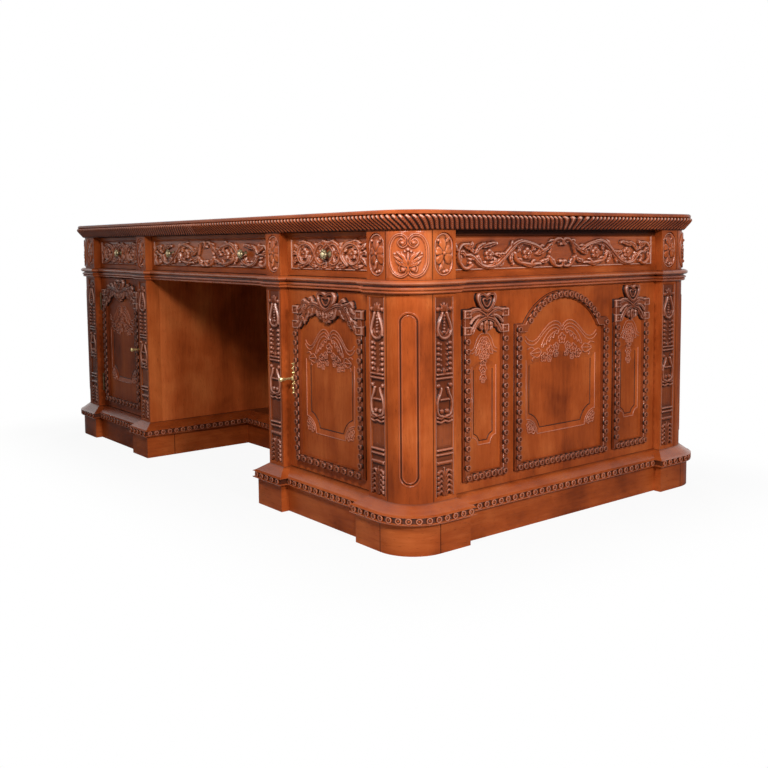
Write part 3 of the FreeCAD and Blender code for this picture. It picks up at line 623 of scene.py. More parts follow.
def tablet(relief, place):
    # closed slab with a relief on its face
    bm = bmesh.new()
    bmesh.ops.create_grid(bm, x_segments=relief.nu, y_segments=relief.nv, size=1)
    walls = bmesh.ops.extrude_edge_only(bm, edges=openEdges(bm))["geom"]
    bmesh.ops.translate(bm, verts=[item for item in walls if isinstance(item, bmesh.types.BMVert)], vec=(0, 0, -1))
    bmesh.ops.edgeloop_fill(bm, edges=openEdges(bm))
    bmesh.ops.recalc_face_normals(bm, faces=bm.faces[:])
    mesh = meshOf("tablet", bm)
    spots = spotsOf(mesh)
    i, j = gridIndex(spots[:, 0], relief.nu), gridIndex(spots[:, 1], relief.nv)
    behind = spots[:, 2] < -0.5
    heights = np.where(behind, min(-slabBack, relief.ground - 1), relief.heights()[j, i])
    mesh.vertices.foreach_set("co", place(relief.us[i], relief.vs[j], heights).ravel())
    return mesh, np.where(behind, 1.0, relief.glazeAndPaintedLight()[j, i])


def carvedPiece(name, jobs, *dress):
    return newPiece(name, (tablet(relief, place) for relief, place in jobs), *dress)


def carvedAllRound(name, relief, sunk, finish):
    # one piece for the front, one for the back and one for both ends
    for start, sides, spots, face in (("front", ["front"], longPlaces, halfDepth),
                                      ("back", ["back"], longPlaces, halfDepth),
                                      ("end", ["rightEnd", "leftEnd"], shortPlaces, halfWidth)):
        jobs = [(relief, onSide(side, along, face - sunk)) for side in sides for along in spots]
        carvedPiece(start + name, jobs, "carcass", finish)


# gadroon edge under the top
gadroon = {"pitch": 15.6, "cornerCount": 10, "lean": 30.0, "turn": 60.0, "hollow": 9.0, "across": 8, "depth": 44.0,
           "section": [(5.0, 0.0), (7.0, 0.05), (9.6, 0.13), (13.2, 0.25), (17.4, 0.38), (21.2, 0.50), (24.6, 0.62),
                       (27.0, 0.73), (28.0, 0.82), (26.8, 0.91), (24.0, 0.97), (20.6, 1.0)],
           "roundFrom": 0.80, "roundOver": 0.21, "foot": 0.16, "gapDark": 1.9, "endHighlight": 1.2, "endAt": (0.88, 0.08),
           "streakHighlight": 0.7, "streakAt": (0.36, 0.10), "streakTop": 0.8, "footDark": 0.6, "footShade": 0.12}
cornerEnd = arcX + gadroon["cornerCount"] * gadroon["pitch"]


def quarterPoint(along, out):
    # front right quarter: half the front, the rounded corner, half the end
    angle = np.clip((along - arcX) / (cornerEnd - arcX), 0, 1) * math.pi / 2
    x = np.minimum(along, arcX) + (columnRadius + out) * np.sin(angle)
    y = -arcY - (columnRadius + out) * np.cos(angle) + np.maximum(along - cornerEnd, 0)
    return x, y


def gadroonEdge():
    quarter = cornerEnd + arcY
    lobes = round(quarter / gadroon["pitch"])
    columns = 4 * lobes * gadroon["across"]
    outline = gadroon["section"] + [(-gadroon["depth"], 1.0), (-gadroon["depth"], 0.0)]
    bm = bmesh.new()
    bmesh.ops.create_grid(bm, x_segments=columns, y_segments=len(outline), size=1)
    mesh = meshOf("gadroonEdge", bm)
    spots = spotsOf(mesh)
    column, row = gridIndex(spots[:, 0], columns) % columns, gridIndex(spots[:, 1], len(outline)) % len(outline)
    out, up = np.array(outline)[row].T
    way = column / columns * 4
    part = np.floor(way).astype(int)
    along = np.where(part % 2 == 0, way - part, 1 - (way - part)) * quarter
    fade = np.minimum(np.minimum(along, quarter - along), gadroon["turn"]) / gadroon["turn"]
    phase = (along + gadroon["lean"] * up * fade) / (quarter / lobes)
    phase = phase - np.floor(phase)
    # the upper end of each lobe is round
    tongue = np.sqrt(1 - np.clip((up - gadroon["roundFrom"]) / gadroon["roundOver"], 0, 0.97) ** 2)
    aside = 2 * np.abs(phase - 0.5) / tongue
    lobe = np.sqrt(np.clip(1 - aside ** 2, 0, 1))
    carved = row < len(gadroon["section"])
    depth = gadroon["hollow"] * np.clip(up / gadroon["foot"], 0, 1)
    x, y = quarterPoint(along, np.where(carved, out - depth * (1 - lobe), out))
    x = np.where((part == 2) | (part == 3), -x, x)
    y = np.where((part == 1) | (part == 2), -y, y)
    z = gadroonBase + (gadroonTop - gadroonBase) * up
    mesh.vertices.foreach_set("co", (np.stack([x, y, z], -1) / perMetre).ravel())
    # painted shade in the gaps between lobes and along their foot, painted highlights on the round upper ends and in a
    # streak down each lobe
    (endAt, endSpread), (streakAt, streakSpread) = gadroon["endAt"], gadroon["streakAt"]
    ends = lobe ** 2 * np.exp(-((up - endAt) / endSpread) ** 2)
    streak = np.exp(-((phase - streakAt) / streakSpread) ** 2) * (up < gadroon["streakTop"])
    mask = (gadroon["gapDark"] * np.clip(aside, 0, 1) ** 3 - gadroon["endHighlight"] * ends
            - gadroon["streakHighlight"] * streak + gadroon["footDark"] * np.clip(1 - up / gadroon["footShade"], 0, 1))
    setGlazeAndPaintedLight(mesh, np.where(carved, mask, 1))
    joinedUp(mesh, 1e-6)
    piece = dressed("gadroonEdge", mesh, "carcass", ropeWood)
    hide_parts("gadroon_moulding")
    print("gadroon edge:", 4 * lobes, "lobes")


gadroonEdge()


# turned shapes: ring beads and drawer knobs
def turnedShape(profile, steps):
    # spins a line of (radius, height) points about +Z
    bm = bmesh.new()
    line = [bm.verts.new((r, 0, h)) for r, h in profile]
    edges = [bm.edges.new(pair) for pair in zip(line[:-1], line[1:])]
    bmesh.ops.spin(bm, geom=line + edges, cent=(0, 0, 0), axis=(0, 0, 1),
                   angle=2 * math.pi, steps=steps, use_merge=True)
    bmesh.ops.remove_doubles(bm, verts=bm.verts[:], dist=1e-5)
    bmesh.ops.edgeloop_fill(bm, edges=openEdges(bm))
    bmesh.ops.recalc_face_normals(bm, faces=bm.faces[:])
    return meshOf("turnedShape", bm)


# a ring with a domed eye, with painted shade in the hollow round the eye and a painted highlight on the ring's crown;
# the collar adds painted shade on the ground round it
ringBead = {"profile": [(0.0, 0.70), (0.26, 0.55), (0.44, 0.34), (0.70, 1.0), (0.90, 0.74), (0.99, -0.25)],
            "glazeAndPaintedLight": [-0.1, 0.2, 1.0, -0.7, -0.1, 0.9], "steps": 10}
collarBead = dict(ringBead, profile=ringBead["profile"][:-1] + [(0.98, 0.10), (1.14, 0.08), (1.15, -0.25)],
                  glazeAndPaintedLight=ringBead["glazeAndPaintedLight"] + [0.9, 0.9])


def beadPiece(name, places, body, finish, bead):
    # places: (middle point, outward direction, radius, height, spread); spread widens a bead along its row
    ring = turnedShape(bead["profile"], bead["steps"])
    a, b, c = spotsOf(ring).T
    mask = np.interp(np.hypot(a, b), [radius for radius, height in bead["profile"]], bead["glazeAndPaintedLight"])

    def oneBead(middle, outward, radius, height, spread=1.0):
        across = np.cross((0, 0, 1), outward)
        flat = middle + np.outer(a * radius * spread, across) + np.outer(b * radius, (0, 0, 1))
        spots = flat + np.outer(c * height, outward)
        shape = ring.copy()
        shape.vertices.foreach_set("co", (spots / perMetre).ravel())
        return shape, mask
    newPiece(name, (oneBead(*place) for place in places), body, finish)


plinthBeads = {"pitch": 24.5, "size": (9.0, 5.0), "channel": capHigh[0] - halfWidth - 5.4, "level": capLow[2] + 11.5,
               "crossFace": 394.0 - halfDepth}


def plinthRing():
    out, pitch, size, places = plinthBeads["channel"], plinthBeads["pitch"], plinthBeads["size"], []

    def row(start, end, outward):
        start, end = np.array((*start, plinthBeads["level"]), float), np.array((*end, plinthBeads["level"]), float)
        count = max(1, round(np.hypot(*(end - start)[:2]) / pitch))
        for k in range(count):
            places.append((start + (end - start) * (k + 0.5) / count, (*outward, 0), *size))

    inner, crossY = kneeholeHalf - out, plinthBeads["crossFace"] - out
    for x0, x1, face in ((inner, bayInner + out, halfDepth), (bayInner + out, bayOuter - out, doorFace),
                         (bayOuter - out, arcX, halfDepth)):
        for sign in (1, -1):
            for side in (-1, 1):
                row((sign * x0, side * (face + out)), (sign * x1, side * (face + out)), (0, side))
    row((-inner, doorFace + out), (inner, doorFace + out), (0, 1))
    for face, y0, y1 in ((halfWidth, -arcY, -endFieldHalf + out), (endFace, -endFieldHalf + out, endFieldHalf - out),
                         (halfWidth, endFieldHalf - out, arcY)):
        for sign in (1, -1):
            row((sign * (face + out), y0), (sign * (face + out), y1), (sign, 0))
    row((-inner, crossY), (inner, crossY), (0, -1))
    for sign in (1, -1):
        row((sign * inner, -halfDepth - out), (sign * inner, crossY), (-sign, 0))
    radius = columnRadius + out
    count = round(radius * math.pi / 2 / pitch)
    for signX, signY, degrees in cornerTurns.values():
        for k in range(count):
            angle = math.radians(degrees - 45 + 90 * (k + 0.5) / count)
            x, y = math.sin(angle), -math.cos(angle)
            middle = (signX * arcX + radius * x, signY * arcY + radius * y, plinthBeads["level"])
            places.append((middle, (x, y, 0), *size))
    beadPiece("plinthBeads", places, "carcass", carvedLevel, ringBead)
    print("plinth beads:", len(places))


plinthRing()

# bead-framed panels: frame, field sunk in the board, garland
arch = {"ear": bodyBase + 401.0, "spring": bodyBase + 381.0, "crown": endFrameHigh[2], "endGap": 0.03}
panel = {"foot": bodyBase + 110.0, "head": bodyBase + 305.0, "crown": 14.0, "depth": 4.0, "border": 45.0, "notch": 42.0,
         "slope": 15.0, "arched": False, "railPitch": 30, "railSpread": 1.16,
         "garland": "swag", "lift": 0, "stretch": 1.0}
panels = {
    "door": dict(panel, width=doorFrameHigh[0] - doorFrameLow[0], lift=-13, stretch=0.72),
    "arch": dict(panel, width=362.0, arched=True, railPitch=20, railSpread=1.0, stretch=0.93),
    "back": dict(panel, width=560.0, arched=True, stretch=1.4),
    "narrow": dict(panel, width=150.0, border=34.0, notch=20.0, slope=9.0, railPitch=20, railSpread=1.0,
                   garland="husks"),
}
for shape in panels.values():
    shape["half"] = shape["width"] / 2 - shape["border"]
narrowPlace = endFrameHigh[1] - panels["narrow"]["width"] / 2
panelSpots = {"rightDoor": ("right_door", [("front", bayMiddle, doorFace, "door")]),
              "leftDoor": ("left_door", [("front", -bayMiddle, doorFace, "door")])}
for side, face, middleKind, along, kind in (("rightEnd", endFace, "arch", narrowPlace, "narrow"),
                                            ("leftEnd", endFace, "arch", narrowPlace, "narrow"),
                                            ("back", doorFace, "back", bayMiddle, "door")):
    panelSpots[side] = ("carcass", [(side, 0, face, middleKind), (side, along, face, kind), (side, -along, face, kind)])
frameBeads = {"width": 20.0, "radius": 8.4, "height": 6.2, "sink": 0.6, "pitch": 23.5,
              "railRadius": 8.6, "archPitch": 21.0, "crestDrop": 62.0, "footGap": 1.2, "headGap": 0.1, "railGap": 0.2}


def archOf(shape):
    # middle level and radius of an arched frame's outer edge
    chord, rise = shape["width"] / 2 - frameBeads["width"], arch["crown"] - arch["spring"]
    radius = (chord ** 2 + rise ** 2) / (2 * rise)
    return arch["crown"] - radius, radius


def frameRow(shape):
    # bead places round one frame, as (along, level, radius, spread)
    w, railRadius, half = frameBeads["width"], frameBeads["railRadius"], shape["width"] / 2 - frameBeads["width"] / 2
    head = arch["ear"] if shape["arched"] else frameHead - frameBeads["crestDrop"]
    tall = head - frameFoot - (frameBeads["footGap"] + frameBeads["headGap"]) * w
    count = round(tall / frameBeads["pitch"])
    spots = []
    for k in range(count):
        height = frameFoot + frameBeads["footGap"] * w + tall * (k + 0.5) / count
        spots += [(side * half, height, frameBeads["radius"], 1.0) for side in (1, -1)]
    rail = shape["width"] - frameBeads["railGap"] * w
    count = round(rail / shape["railPitch"])
    for k in range(count):
        spots.append((rail * ((k + 0.5) / count - 0.5), frameFoot + w / 2, railRadius, shape["railSpread"]))
    if shape["arched"]:
        middle, radius = archOf(shape)
        inner, turn = radius - w / 2, math.acos((arch["ear"] - middle) / radius) - arch["endGap"]
        count = round(2 * turn * inner / frameBeads["archPitch"])
        for k in range(count):
            angle = -turn + 2 * turn * (k + 0.5) / count
            spots.append((inner * math.sin(angle), middle + inner * math.cos(angle), railRadius, 1.0))
    return spots


for name, (body, spots) in panelSpots.items():
    places = []
    for side, along, face, kind in spots:
        turn, place = math.radians(sideTurns[side]), onSide(side, along, face + frameRise)
        for u, height, radius, spread in frameRow(panels[kind]):
            middle = place(np.array(u), np.array(height), np.array(-frameBeads["sink"])) * perMetre
            places.append((middle, (math.sin(turn), -math.cos(turn), 0), radius, frameBeads["height"], spread))
    beadPiece(name + "Beads", places, body, darkUpright, collarBead)
print("frame beads set")

knob = {"profile": [(0.0, 0.0), (8.6, 0.0), (9.0, 1.0), (8.4, 2.2), (7.4, 2.6), (6.8, 3.8), (5.4, 4.6), (4.5, 7.0),
                    (4.6, 11.0), (6.8, 13.0), (10.8, 15.0), (13.2, 17.4), (13.7, 19.8), (12.6, 22.0), (10.2, 23.4),
                    (9.2, 22.6), (7.2, 22.6), (6.2, 24.2), (3.4, 25.6), (0.0, 26.0)],
        "steps": 30, "neck": 12, "head": 16, "face": 20, "ring": (6.5, 9.3),
        "petalFrom": 8.5, "petalCut": 0.07, "flute": 0.9}


def drawerKnobs(name, node, body):
    low, high = millimetres(node)
    middle, radius = (low[2] + high[2]) / 2, (high[2] - low[2]) / 2
    turned = turnedShape(knob["profile"], knob["steps"])
    x, y, h = spotsOf(turned).T
    r, a = np.hypot(x, y), np.arctan2(y, x)
    outer, (ringIn, ringOut) = (h > knob["head"]) & (r > knob["petalFrom"]), knob["ring"]
    petals = np.where(outer, 1 - knob["petalCut"] * np.abs(np.sin(4 * a)), 1)
    flutes = np.where(outer, knob["flute"] * (1 - np.abs(np.cos(4 * a))), 0)
    inside = np.where(h > knob["face"], 0.9 * ((r > ringIn) & (r < ringOut)), 0.7)
    mask = np.where(r < ringOut, inside, 0.2) + 0.6 * (petals < 0.97)
    mask = np.where(h < knob["neck"], 1.3, mask)      # dull rose and neck

    def oneKnob(along):
        shape, place = turned.copy(), onSide("front", along, -low[1] - knob["profile"][-1][1])
        spots = place(r * petals * np.cos(a), middle + r * petals * np.sin(a), h - flutes)
        shape.vertices.foreach_set("co", spots.ravel())
        return shape, mask

    pair = high[0] - low[0] > 3 * radius
    places = [low[0] + radius, high[0] - radius] if pair else [(low[0] + high[0]) / 2]
    piece = newPiece(name, (oneKnob(along) for along in places), body, antiqueBrass, "antique_brass")
    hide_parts(node)


drawerKnobs("leftKnob", "left_drawer_knobs", "left_drawer")
drawerKnobs("centreKnobs", "centre_drawer_knobs", "centre_drawer")
drawerKnobs("rightKnob", "right_drawer_knobs", "right_drawer")

# frieze carving; every design is drawn for its right half
frieze = {"sunk": 4.0, "border": 18.0, "endBorder": 17.0, "rim": 1.5, "rimRise": 0.4, "rimTint": -0.3}
centreScroll = {
    "groundGlazeAndShade": 0.06, "sprigs": (27, 17),
    "reeds": [
        ((6.72, 2.688, 11.5, 2), [[(208, -1), (225, -13.5), (240, -23.5), (257, -30.5), (275, -33), (292, -30.5),
                                   (307, -23), (322, -10.5), (335, -3.5), (350, -2)]]),
        ((6.72, 3.36, 11.5, 2), [[(208, -1), (195, 10), (180, 20), (165, 26.5), (150, 27.5), (122, 22.5),
                                  (105, 18.5), (90, 12.5), (77, 5)]])],
    "stems": [
        ((5.76, 3.12, 10.5, 9.0), [[(332, -28), (342, -35), (355, -35), (367, -25), (375, -10), (374, 7.5),
                                    (362, 21.5), (340, 23.5)]]),
        ((6.0, 3.6, 10.5, 9.0), [[(182, -1.5), (177, -15), (165, -23.5), (150, -26.5), (135, -28.5), (117, -30),
                                  (100, -28.5), (86, -28.5)]]),
        ((4.32, 6.24, 10.5, 9.0), [[(9, 21), (3, 22), (3, 31), (14, 35), (28, 31), (39, 21), (45, 9), (50, 0)],
                                   [(10, -23), (3, -25), (3, -34), (14, -38), (31, -34), (44, -24), (52, -12)]])],
    "leaves": [((8.4, 10.5, 3), [
        [(352, 19), (336, 13), (324, 2)], [(342, 16), (332, 20), (327, 29)], [(318, 2), (305, 15), (282, 26)],
        [(294, 16), (270, 21), (243, 27)], [(234, -3), (221, -4), (210, 0)], [(190, 0), (196, -14), (187, -27)],
        [(154, -26), (126, -32), (94, -27)], [(98, -5), (75, 3.5), (58, 11)], [(66, 6), (46, 19), (34, 29)],
        [(82, -23), (66, -22), (52, -14)], [(172, 23), (164, 12), (169, 3)], [(120, 22), (112, 12), (116, 4)],
        [(304, -22), (312, -12), (306, -3)], [(226, -12), (238, -4), (252, -2)], [(258, -30), (250, -20), (254, -10)],
        [(88, 13), (92, 2), (104, -4)], [(372, 4), (358, 2), (350, -8)]])],
    "clusters": [((16, 10.5), [(135, -2.5)])],
    "balls": [((5.4, 9.5), [(336, -23)]), ((3.4, 9.5), [(286, -21.5), (264, -22)]), ((4.6, 9.5), [(246, 24)]),
              ((4.0, 9.5), [(187, -27), (46, 12), (46, -14)]), ((4.2, 9.5), [(9, 23), (10, -25)])],
}
endScroll = dict(centreScroll, clusters=centreScroll["clusters"] + [((15, 10.5), [(271, -3.5)])])
sideScroll = {
    "groundGlazeAndShade": 0.12, "sprigs": (25, 14),
    "reeds": [((7.2, 4.4, 10.5, 2), [
        [(12, -22), (28, -26), (46, -18), (58, 1), (74, 19), (98, 27), (124, 21), (137, 3), (131, -15), (111, -25),
         (90, -19), (82, -6)],
        [(12, 22), (28, 26), (44, 19), (54, 6), (64, -12), (80, -25)],
        [(4, 26), (14, 19), (23, 10), (25, -2), (19, -14)]])],
    "leaves": [((8.6, 9.5, 3), [
        [(60, 5), (52, 19), (62, 30)], [(96, 28), (118, 31), (138, 28)], [(134, 12), (148, 18), (158, 27)],
        [(135, -8), (150, -15), (160, -27)], [(104, -26), (124, -31), (144, -27)], [(78, -24), (64, -30), (50, -30)],
        [(144, 2), (156, 4), (166, -2)], [(30, 27), (20, 31), (8, 31)], [(32, -28), (20, -31), (8, -31)],
        [(44, -4), (36, 4), (38, 14)]])],
    "clusters": [((15.5, 10.0), [(106, 2)]), ((9, 10.0), [(40, 4)])],
}
sprig = {"first": 0.7, "last": 0.3, "bend": (0.5, 0.55), "tip": (1.05, 0.70), "limit": 35, "leaf": (4.6, 9.5, 2)}


def sprigs(relief, line, middle, spacing, length):
    # small leaves along a stem, turned out on either side by turns, and none past the sunk panel
    path = np.asarray(line, float)
    way = np.concatenate([[0], np.cumsum(np.hypot(*np.diff(path, axis=0).T))])
    for k, s in enumerate(np.arange(sprig["first"] * spacing, way[-1] - sprig["last"] * spacing, spacing)):
        here, ahead = (np.array([np.interp(s + more, way, path[:, axis]) for axis in (0, 1)]) for more in (0, 2))
        along = (ahead - here) / max(np.hypot(*(ahead - here)), 1e-6)
        aside = np.array([-along[1], along[0]]) * (1 if k % 2 else -1)
        leaf = [here] + [here + length * (forth * along + out * aside) for forth, out in (sprig["bend"], sprig["tip"])]
        if abs(leaf[2][1] - middle) < sprig["limit"]:
            relief.leaf(smoothLine(*leaf), *sprig["leaf"])


def friezeRelief(design, half, stretch=1.0):
    border, rim = frieze["border"], frieze["rim"]
    relief = Relief(2 * half, friezeBase + border, friezeTop - border, groundGlazeAndShade=design["groundGlazeAndShade"])
    relief.draw(design, friezeMiddle, stretch)
    # raised rim along the foot and the ends of the sunk panel, with a painted highlight
    side, foot, head = relief.us[-1] - rim, relief.vs[0] + rim, relief.vs[-1] - rim
    line = [(0, foot), (side, foot), (side, head)]
    relief.stem(line, rim, rim, frieze["sunk"] + frieze["rimRise"], tint=frieze["rimTint"])
    return relief.mirrored()


frontPlane, endPlane = doorFace - frieze["sunk"], endFace - frieze["sunk"]
sideRelief = friezeRelief(sideScroll, (bayOuter - bayInner) / 2 - frieze["border"])
centreRelief = friezeRelief(centreScroll, kneeholeHalf - frieze["border"], 0.96)
endRelief = friezeRelief(endScroll, endFieldHalf - frieze["endBorder"], 0.99)
for name, relief, side, along, body in (("rightDrawerCarving", sideRelief, "front", bayMiddle, "right_drawer"),
                                        ("leftDrawerCarving", sideRelief, "front", -bayMiddle, "left_drawer"),
                                        ("centreDrawerCarving", centreRelief, "front", 0, "centre_drawer"),
                                        ("rightFriezeCarving", endRelief, "rightEnd", 0, "carcass"),
                                        ("leftFriezeCarving", endRelief, "leftEnd", 0, "carcass")):
    carvedPiece(name, [(relief, onSide(side, along, frontPlane if side == "front" else endPlane))], body, carvedLevel)
backJobs = [(relief, onSide("back", along, frontPlane))
            for relief, along in ((centreRelief, 0), (sideRelief, bayMiddle), (sideRelief, -bayMiddle))]
carvedPiece("backFriezeCarving", backJobs, "carcass", carvedLevel)
print("frieze carved")

# corner blocks: two wide C-scrolls face to face, with a spray between them
cornerScroll = {
    "edge": 2.5, "step": 1.2,
    "stems": [((4.2, 4.2, 5.0, 5.0, 0.65), [[
        (10, 31), (16, 34), (21, 27), (13, 19), (4, 24), (3, 36), (14, 46), (31, 42), (43, 24), (46, 0), (44, -22),
        (34, -41), (18, -49), (5, -44), (2, -33), (9, -24), (18, -28), (17, -36), (11, -36)]])],
    "leaves": [((5.0, 6.4, 2), [[(2, -24), (8, -8), (15, 6)], [(2, -22), (13, -4), (27, 8)],
                                [(3, -24), (17, -12), (33, -2)], [(4, -26), (17, -21), (29, -13)]]),
               ((4.0, 5.6, 2), [[(0, -40), (0, -10), (0, 8)]])],
    "balls": [((5.6, 7.4), [(12.5, 27.5)]), ((6.2, 7.6), [(11.5, -33.5)]), ((4.6, 6.4), [(0, 12)]),
              ((3.2, 5.4), [(7, 8)]), ((3.2, 5.0), [(31, 3)])],
}
edge, arcLength = cornerScroll["edge"], columnRadius * math.pi / 2
cornerCarving = Relief(arcLength - 2 * edge, friezeBase + edge, friezeTop - edge, cornerScroll["step"])
cornerCarving.draw(cornerScroll, friezeMiddle).mirrored()
carvedPiece("cornerCarvings", [(cornerCarving, onCorner(corner)) for corner in cornerTurns], "carcass", carvedUpright)

# pilaster blocks: large open flower in a round-ended hollow; petals: (angle, length, width)
blockFlower = {
    "sunk": 5.0, "edge": 6.5, "step": 1.2, "groundGlazeAndShade": 0.12, "lift": 3.0, "petalRise": 7.8, "cup": 0.5,
    "rimInset": 3.0, "rim": (1.7, 1.7, 4.0),
    "petals": [(98, 36, 14), (28, 27, 15), (164, 27, 14), (-38, 33, 16), (228, 31, 13)],
    "leaves": [((6.0, 6.0, 2), [[(-2, -16), (-6, -30), (-13, -41)]]), ((4.6, 5.4, 2), [[(9, 26), (14, 34), (8, 43)]])],
    "balls": [((6.4, 8.6), [(0, 0)]), ((4.6, 6.0), [(10, -41)]), ((3.8, 6.0), [(1, -43)]), ((4.4, 6.0), [(16, 34)]),
              ((4.0, 6.0), [(-17, 30)])],
}


def blockRelief():
    edge, lift = blockFlower["edge"], friezeMiddle + blockFlower["lift"]
    width = pilasterWidth - 2 * edge
    relief = Relief(width, friezeBase + edge, friezeTop - edge, blockFlower["step"],
                    groundGlazeAndShade=blockFlower["groundGlazeAndShade"])
    relief.draw(blockFlower, lift)
    for angle, length, wide in blockFlower["petals"]:
        relief.petal(0, lift, angle, length, wide, blockFlower["petalRise"], blockFlower["cup"])
    straight = (friezeTop - friezeBase - pilasterWidth) / 2
    relief.stem(oval(width / 2 - blockFlower["rimInset"], straight, friezeMiddle, 13), *blockFlower["rim"])
    return relief


carvedAllRound("BlockFlowers", blockRelief(), blockFlower["sunk"], carvedUpright)
print("blocks and corners carved")

# groove with painted shade on its floor, between raised rims, that runs round the long panel of each corner column
columnPanel = {"half": 20.5, "length": 400.0, "edge": 8.0, "ground": -3.6, "step": 1.3,
               "floor": (2.9, -2.5, 0.28), "rimOffset": 3.9, "rim": (1.6, 1.6, 1.3)}


def columnRelief():
    middle, half, edge = (bodyBase + waistBase) / 2, columnPanel["half"], columnPanel["edge"]
    straight, away = columnPanel["length"] / 2 - half, columnPanel["rimOffset"]
    tall = straight + half + edge
    relief = Relief(2 * half + 2 * edge, middle - tall, middle + tall, columnPanel["step"], columnPanel["ground"])
    relief.strip(oval(half, straight, middle, 15), *columnPanel["floor"])
    for reachOut in (half - away, half + away):
        relief.stem(oval(reachOut, straight, middle, 15), *columnPanel["rim"])
    return relief


columnCarving = columnRelief()
for start in ("front", "back"):
    jobs = [(columnCarving, onCorner(start + end)) for end in ("Right", "Left")]
    carvedPiece(start + "ColumnBeads", jobs, "carcass", carvedUpright)

# pilaster strips: cap and lyre with a husk drop, stacked balls, second lyre with its bar, plume at the foot
pilaster = {
    "sunk": 4.0, "edge": 7.3, "endEdge": 7.4, "step": 1.4, "groundGlazeAndShade": 0.22, "base": -117.0, "stretch": 1.13,
    "fan": (-70, -36, 0, 36, 70), "fanLeaf": (5.6, 6.6, 1), "border": 1.3, "borderEnd": 2.0, "borderRise": 0.4,
    "stems": [((3.2, 3.6, 7.4, 6.6, 0.0, -0.3), [[(6, 562), (9, 552), (15, 538), (19, 522), (18, 510)]]),
              ((3.4, 4.6, 7.0, 7.4, 0.0, -0.3), [[(19, 521), (15, 511), (8, 504), (0, 501)]]),
              ((3.0, 3.8, 7.0, 6.4, 0.0, -0.25), [[(9, 384), (12, 372), (19, 356), (20.5, 338), (16, 322), (5, 317)]]),
              ((3.0, 4.2, 5.0, 7.0), [[(3, 176 - 12 * k), (9, 187 - 12 * k), (17, 184 - 12 * k)] for k in range(5)])],
    "leaves": [((4.6, 5.6, 1), [[(2, 508), (9, 514), (14, 524)]]), ((6.0, 5.0, 1), [[(0, 418), (0, 432)]]),
               ((6.4, 5.4, 3), [[(0, 126), (0, 197)]])],
    "balls": [((6.0, 7.6), [(17.5, 570)]), ((5.6, 7.2), [(16.5, 490 - 12.4 * k) for k in range(6)]),
              ((3.4, 4.6), [(9.0, 488 - 12.4 * k) for k in range(6)]), ((6.2, 7.6), [(17, 390)]),
              ((6.4, 7.4), [(7.5, 329)]), ((4.6, 7.2), [(18, 181 - 12 * k) for k in range(5)]),
              ((5.0, 6.4), [(0, 516)])]
             + [((4.6 - 0.35 * k, 5.8), [(0, 554 - 7.4 * k)]) for k in range(5)],
    "bars": [((51, 6.8, 7.0), [(0, 417), (0, 407.5)]), ((30, 6.4, 6.6), [(0, 357)]),
             ((50, 6.4, 6.4, 1.6), [(0, 314), (0, 305)]), ((46, 52.0, 1.1), [(0, 272)]),
             ((51, 7.0, 7.0), [(0, 237), (0, 226.5)]), ((48, 10.0, 6.4), [(0, 206)])],
}


def pilasterRelief():
    z, end, border, endGap = bodyBase + pilaster["base"], pilaster["endEdge"], pilaster["border"], pilaster["borderEnd"]
    relief = Relief(pilasterWidth - 2 * pilaster["edge"], bodyBase + end, waistBase - end, pilaster["step"],
                    groundGlazeAndShade=pilaster["groundGlazeAndShade"])
    for angle in pilaster["fan"]:
        a = math.radians(angle)
        relief.leaf([(3 * math.sin(a), z + 566), (17 * math.sin(a), z + 567 + 20 * math.cos(a))], *pilaster["fanLeaf"])
    relief.draw(pilaster, z, pilaster["stretch"])
    # raised border line of the recess
    side = relief.us[-1] - border
    line = [(side, relief.vs[0] + endGap), (side, relief.vs[-1] - endGap)]
    relief.stem(line, border, border, pilaster["sunk"] + pilaster["borderRise"])
    return relief.mirrored()


carvedAllRound("PilasterCarvings", pilasterRelief(), pilaster["sunk"], darkUpright)
print("pilasters carved")

# crests over the panel frames; heights as on the door, with the frame's head at 562
crest = {"headMark": 562, "below": 66.0, "above": 5.0, "ground": -0.7, "pad": 5.0, "shade": 2.0, "doorHalf": 152}
doorCrest = {
    "edge": 14.0, "step": 1.3,
    "reeds": [
        ((8.5, 6.0, 9.5, 3), [[(12, 556), (30, 562), (50, 568), (70, 567), (88, 556), (102, 540), (114, 524),
                               (126, 510)]]),
        ((6.0, 4.5, 9.5, 3), [[(72, 566), (88, 572), (104, 566), (112, 556), (124, 551)]]),
        ((5.0, 3.2, 9.5, 3), [[(44, 560), (40, 548), (32, 538), (20, 536), (12, 543), (14, 553), (25, 556),
                               (32, 549)]])],
    "stems": [((8, 8, 5.0), [[(141, 540), (141, 524)]])],
    "leaves": [((7.5, 8.5, 2), [
        [(58, 560), (66, 546), (76, 536)], [(76, 552), (86, 540), (92, 528)], [(92, 540), (100, 526), (104, 514)],
        [(60, 572), (70, 582), (84, 580)], [(92, 570), (104, 576), (116, 566)], [(104, 552), (116, 548), (126, 538)],
        [(112, 534), (120, 530), (128, 524)], [(16, 540), (10, 530), (2, 524)]]),
               ((8.0, 9.0, 3), [[(0, 550), (0, 520)]])],
    "eyes": [((8.5, 11.0, 10.0), [(91, 561)]), ((8.0, 11.0, 10.0), [(105, 528)]), ((7.5, 11.0, 10.0), [(24, 546)])],
    "tiles": [((27, 23, 9.0), [(141, 551), (141, 512)])],
    "hearts": [((37, 43), [(0, 577)])],
}
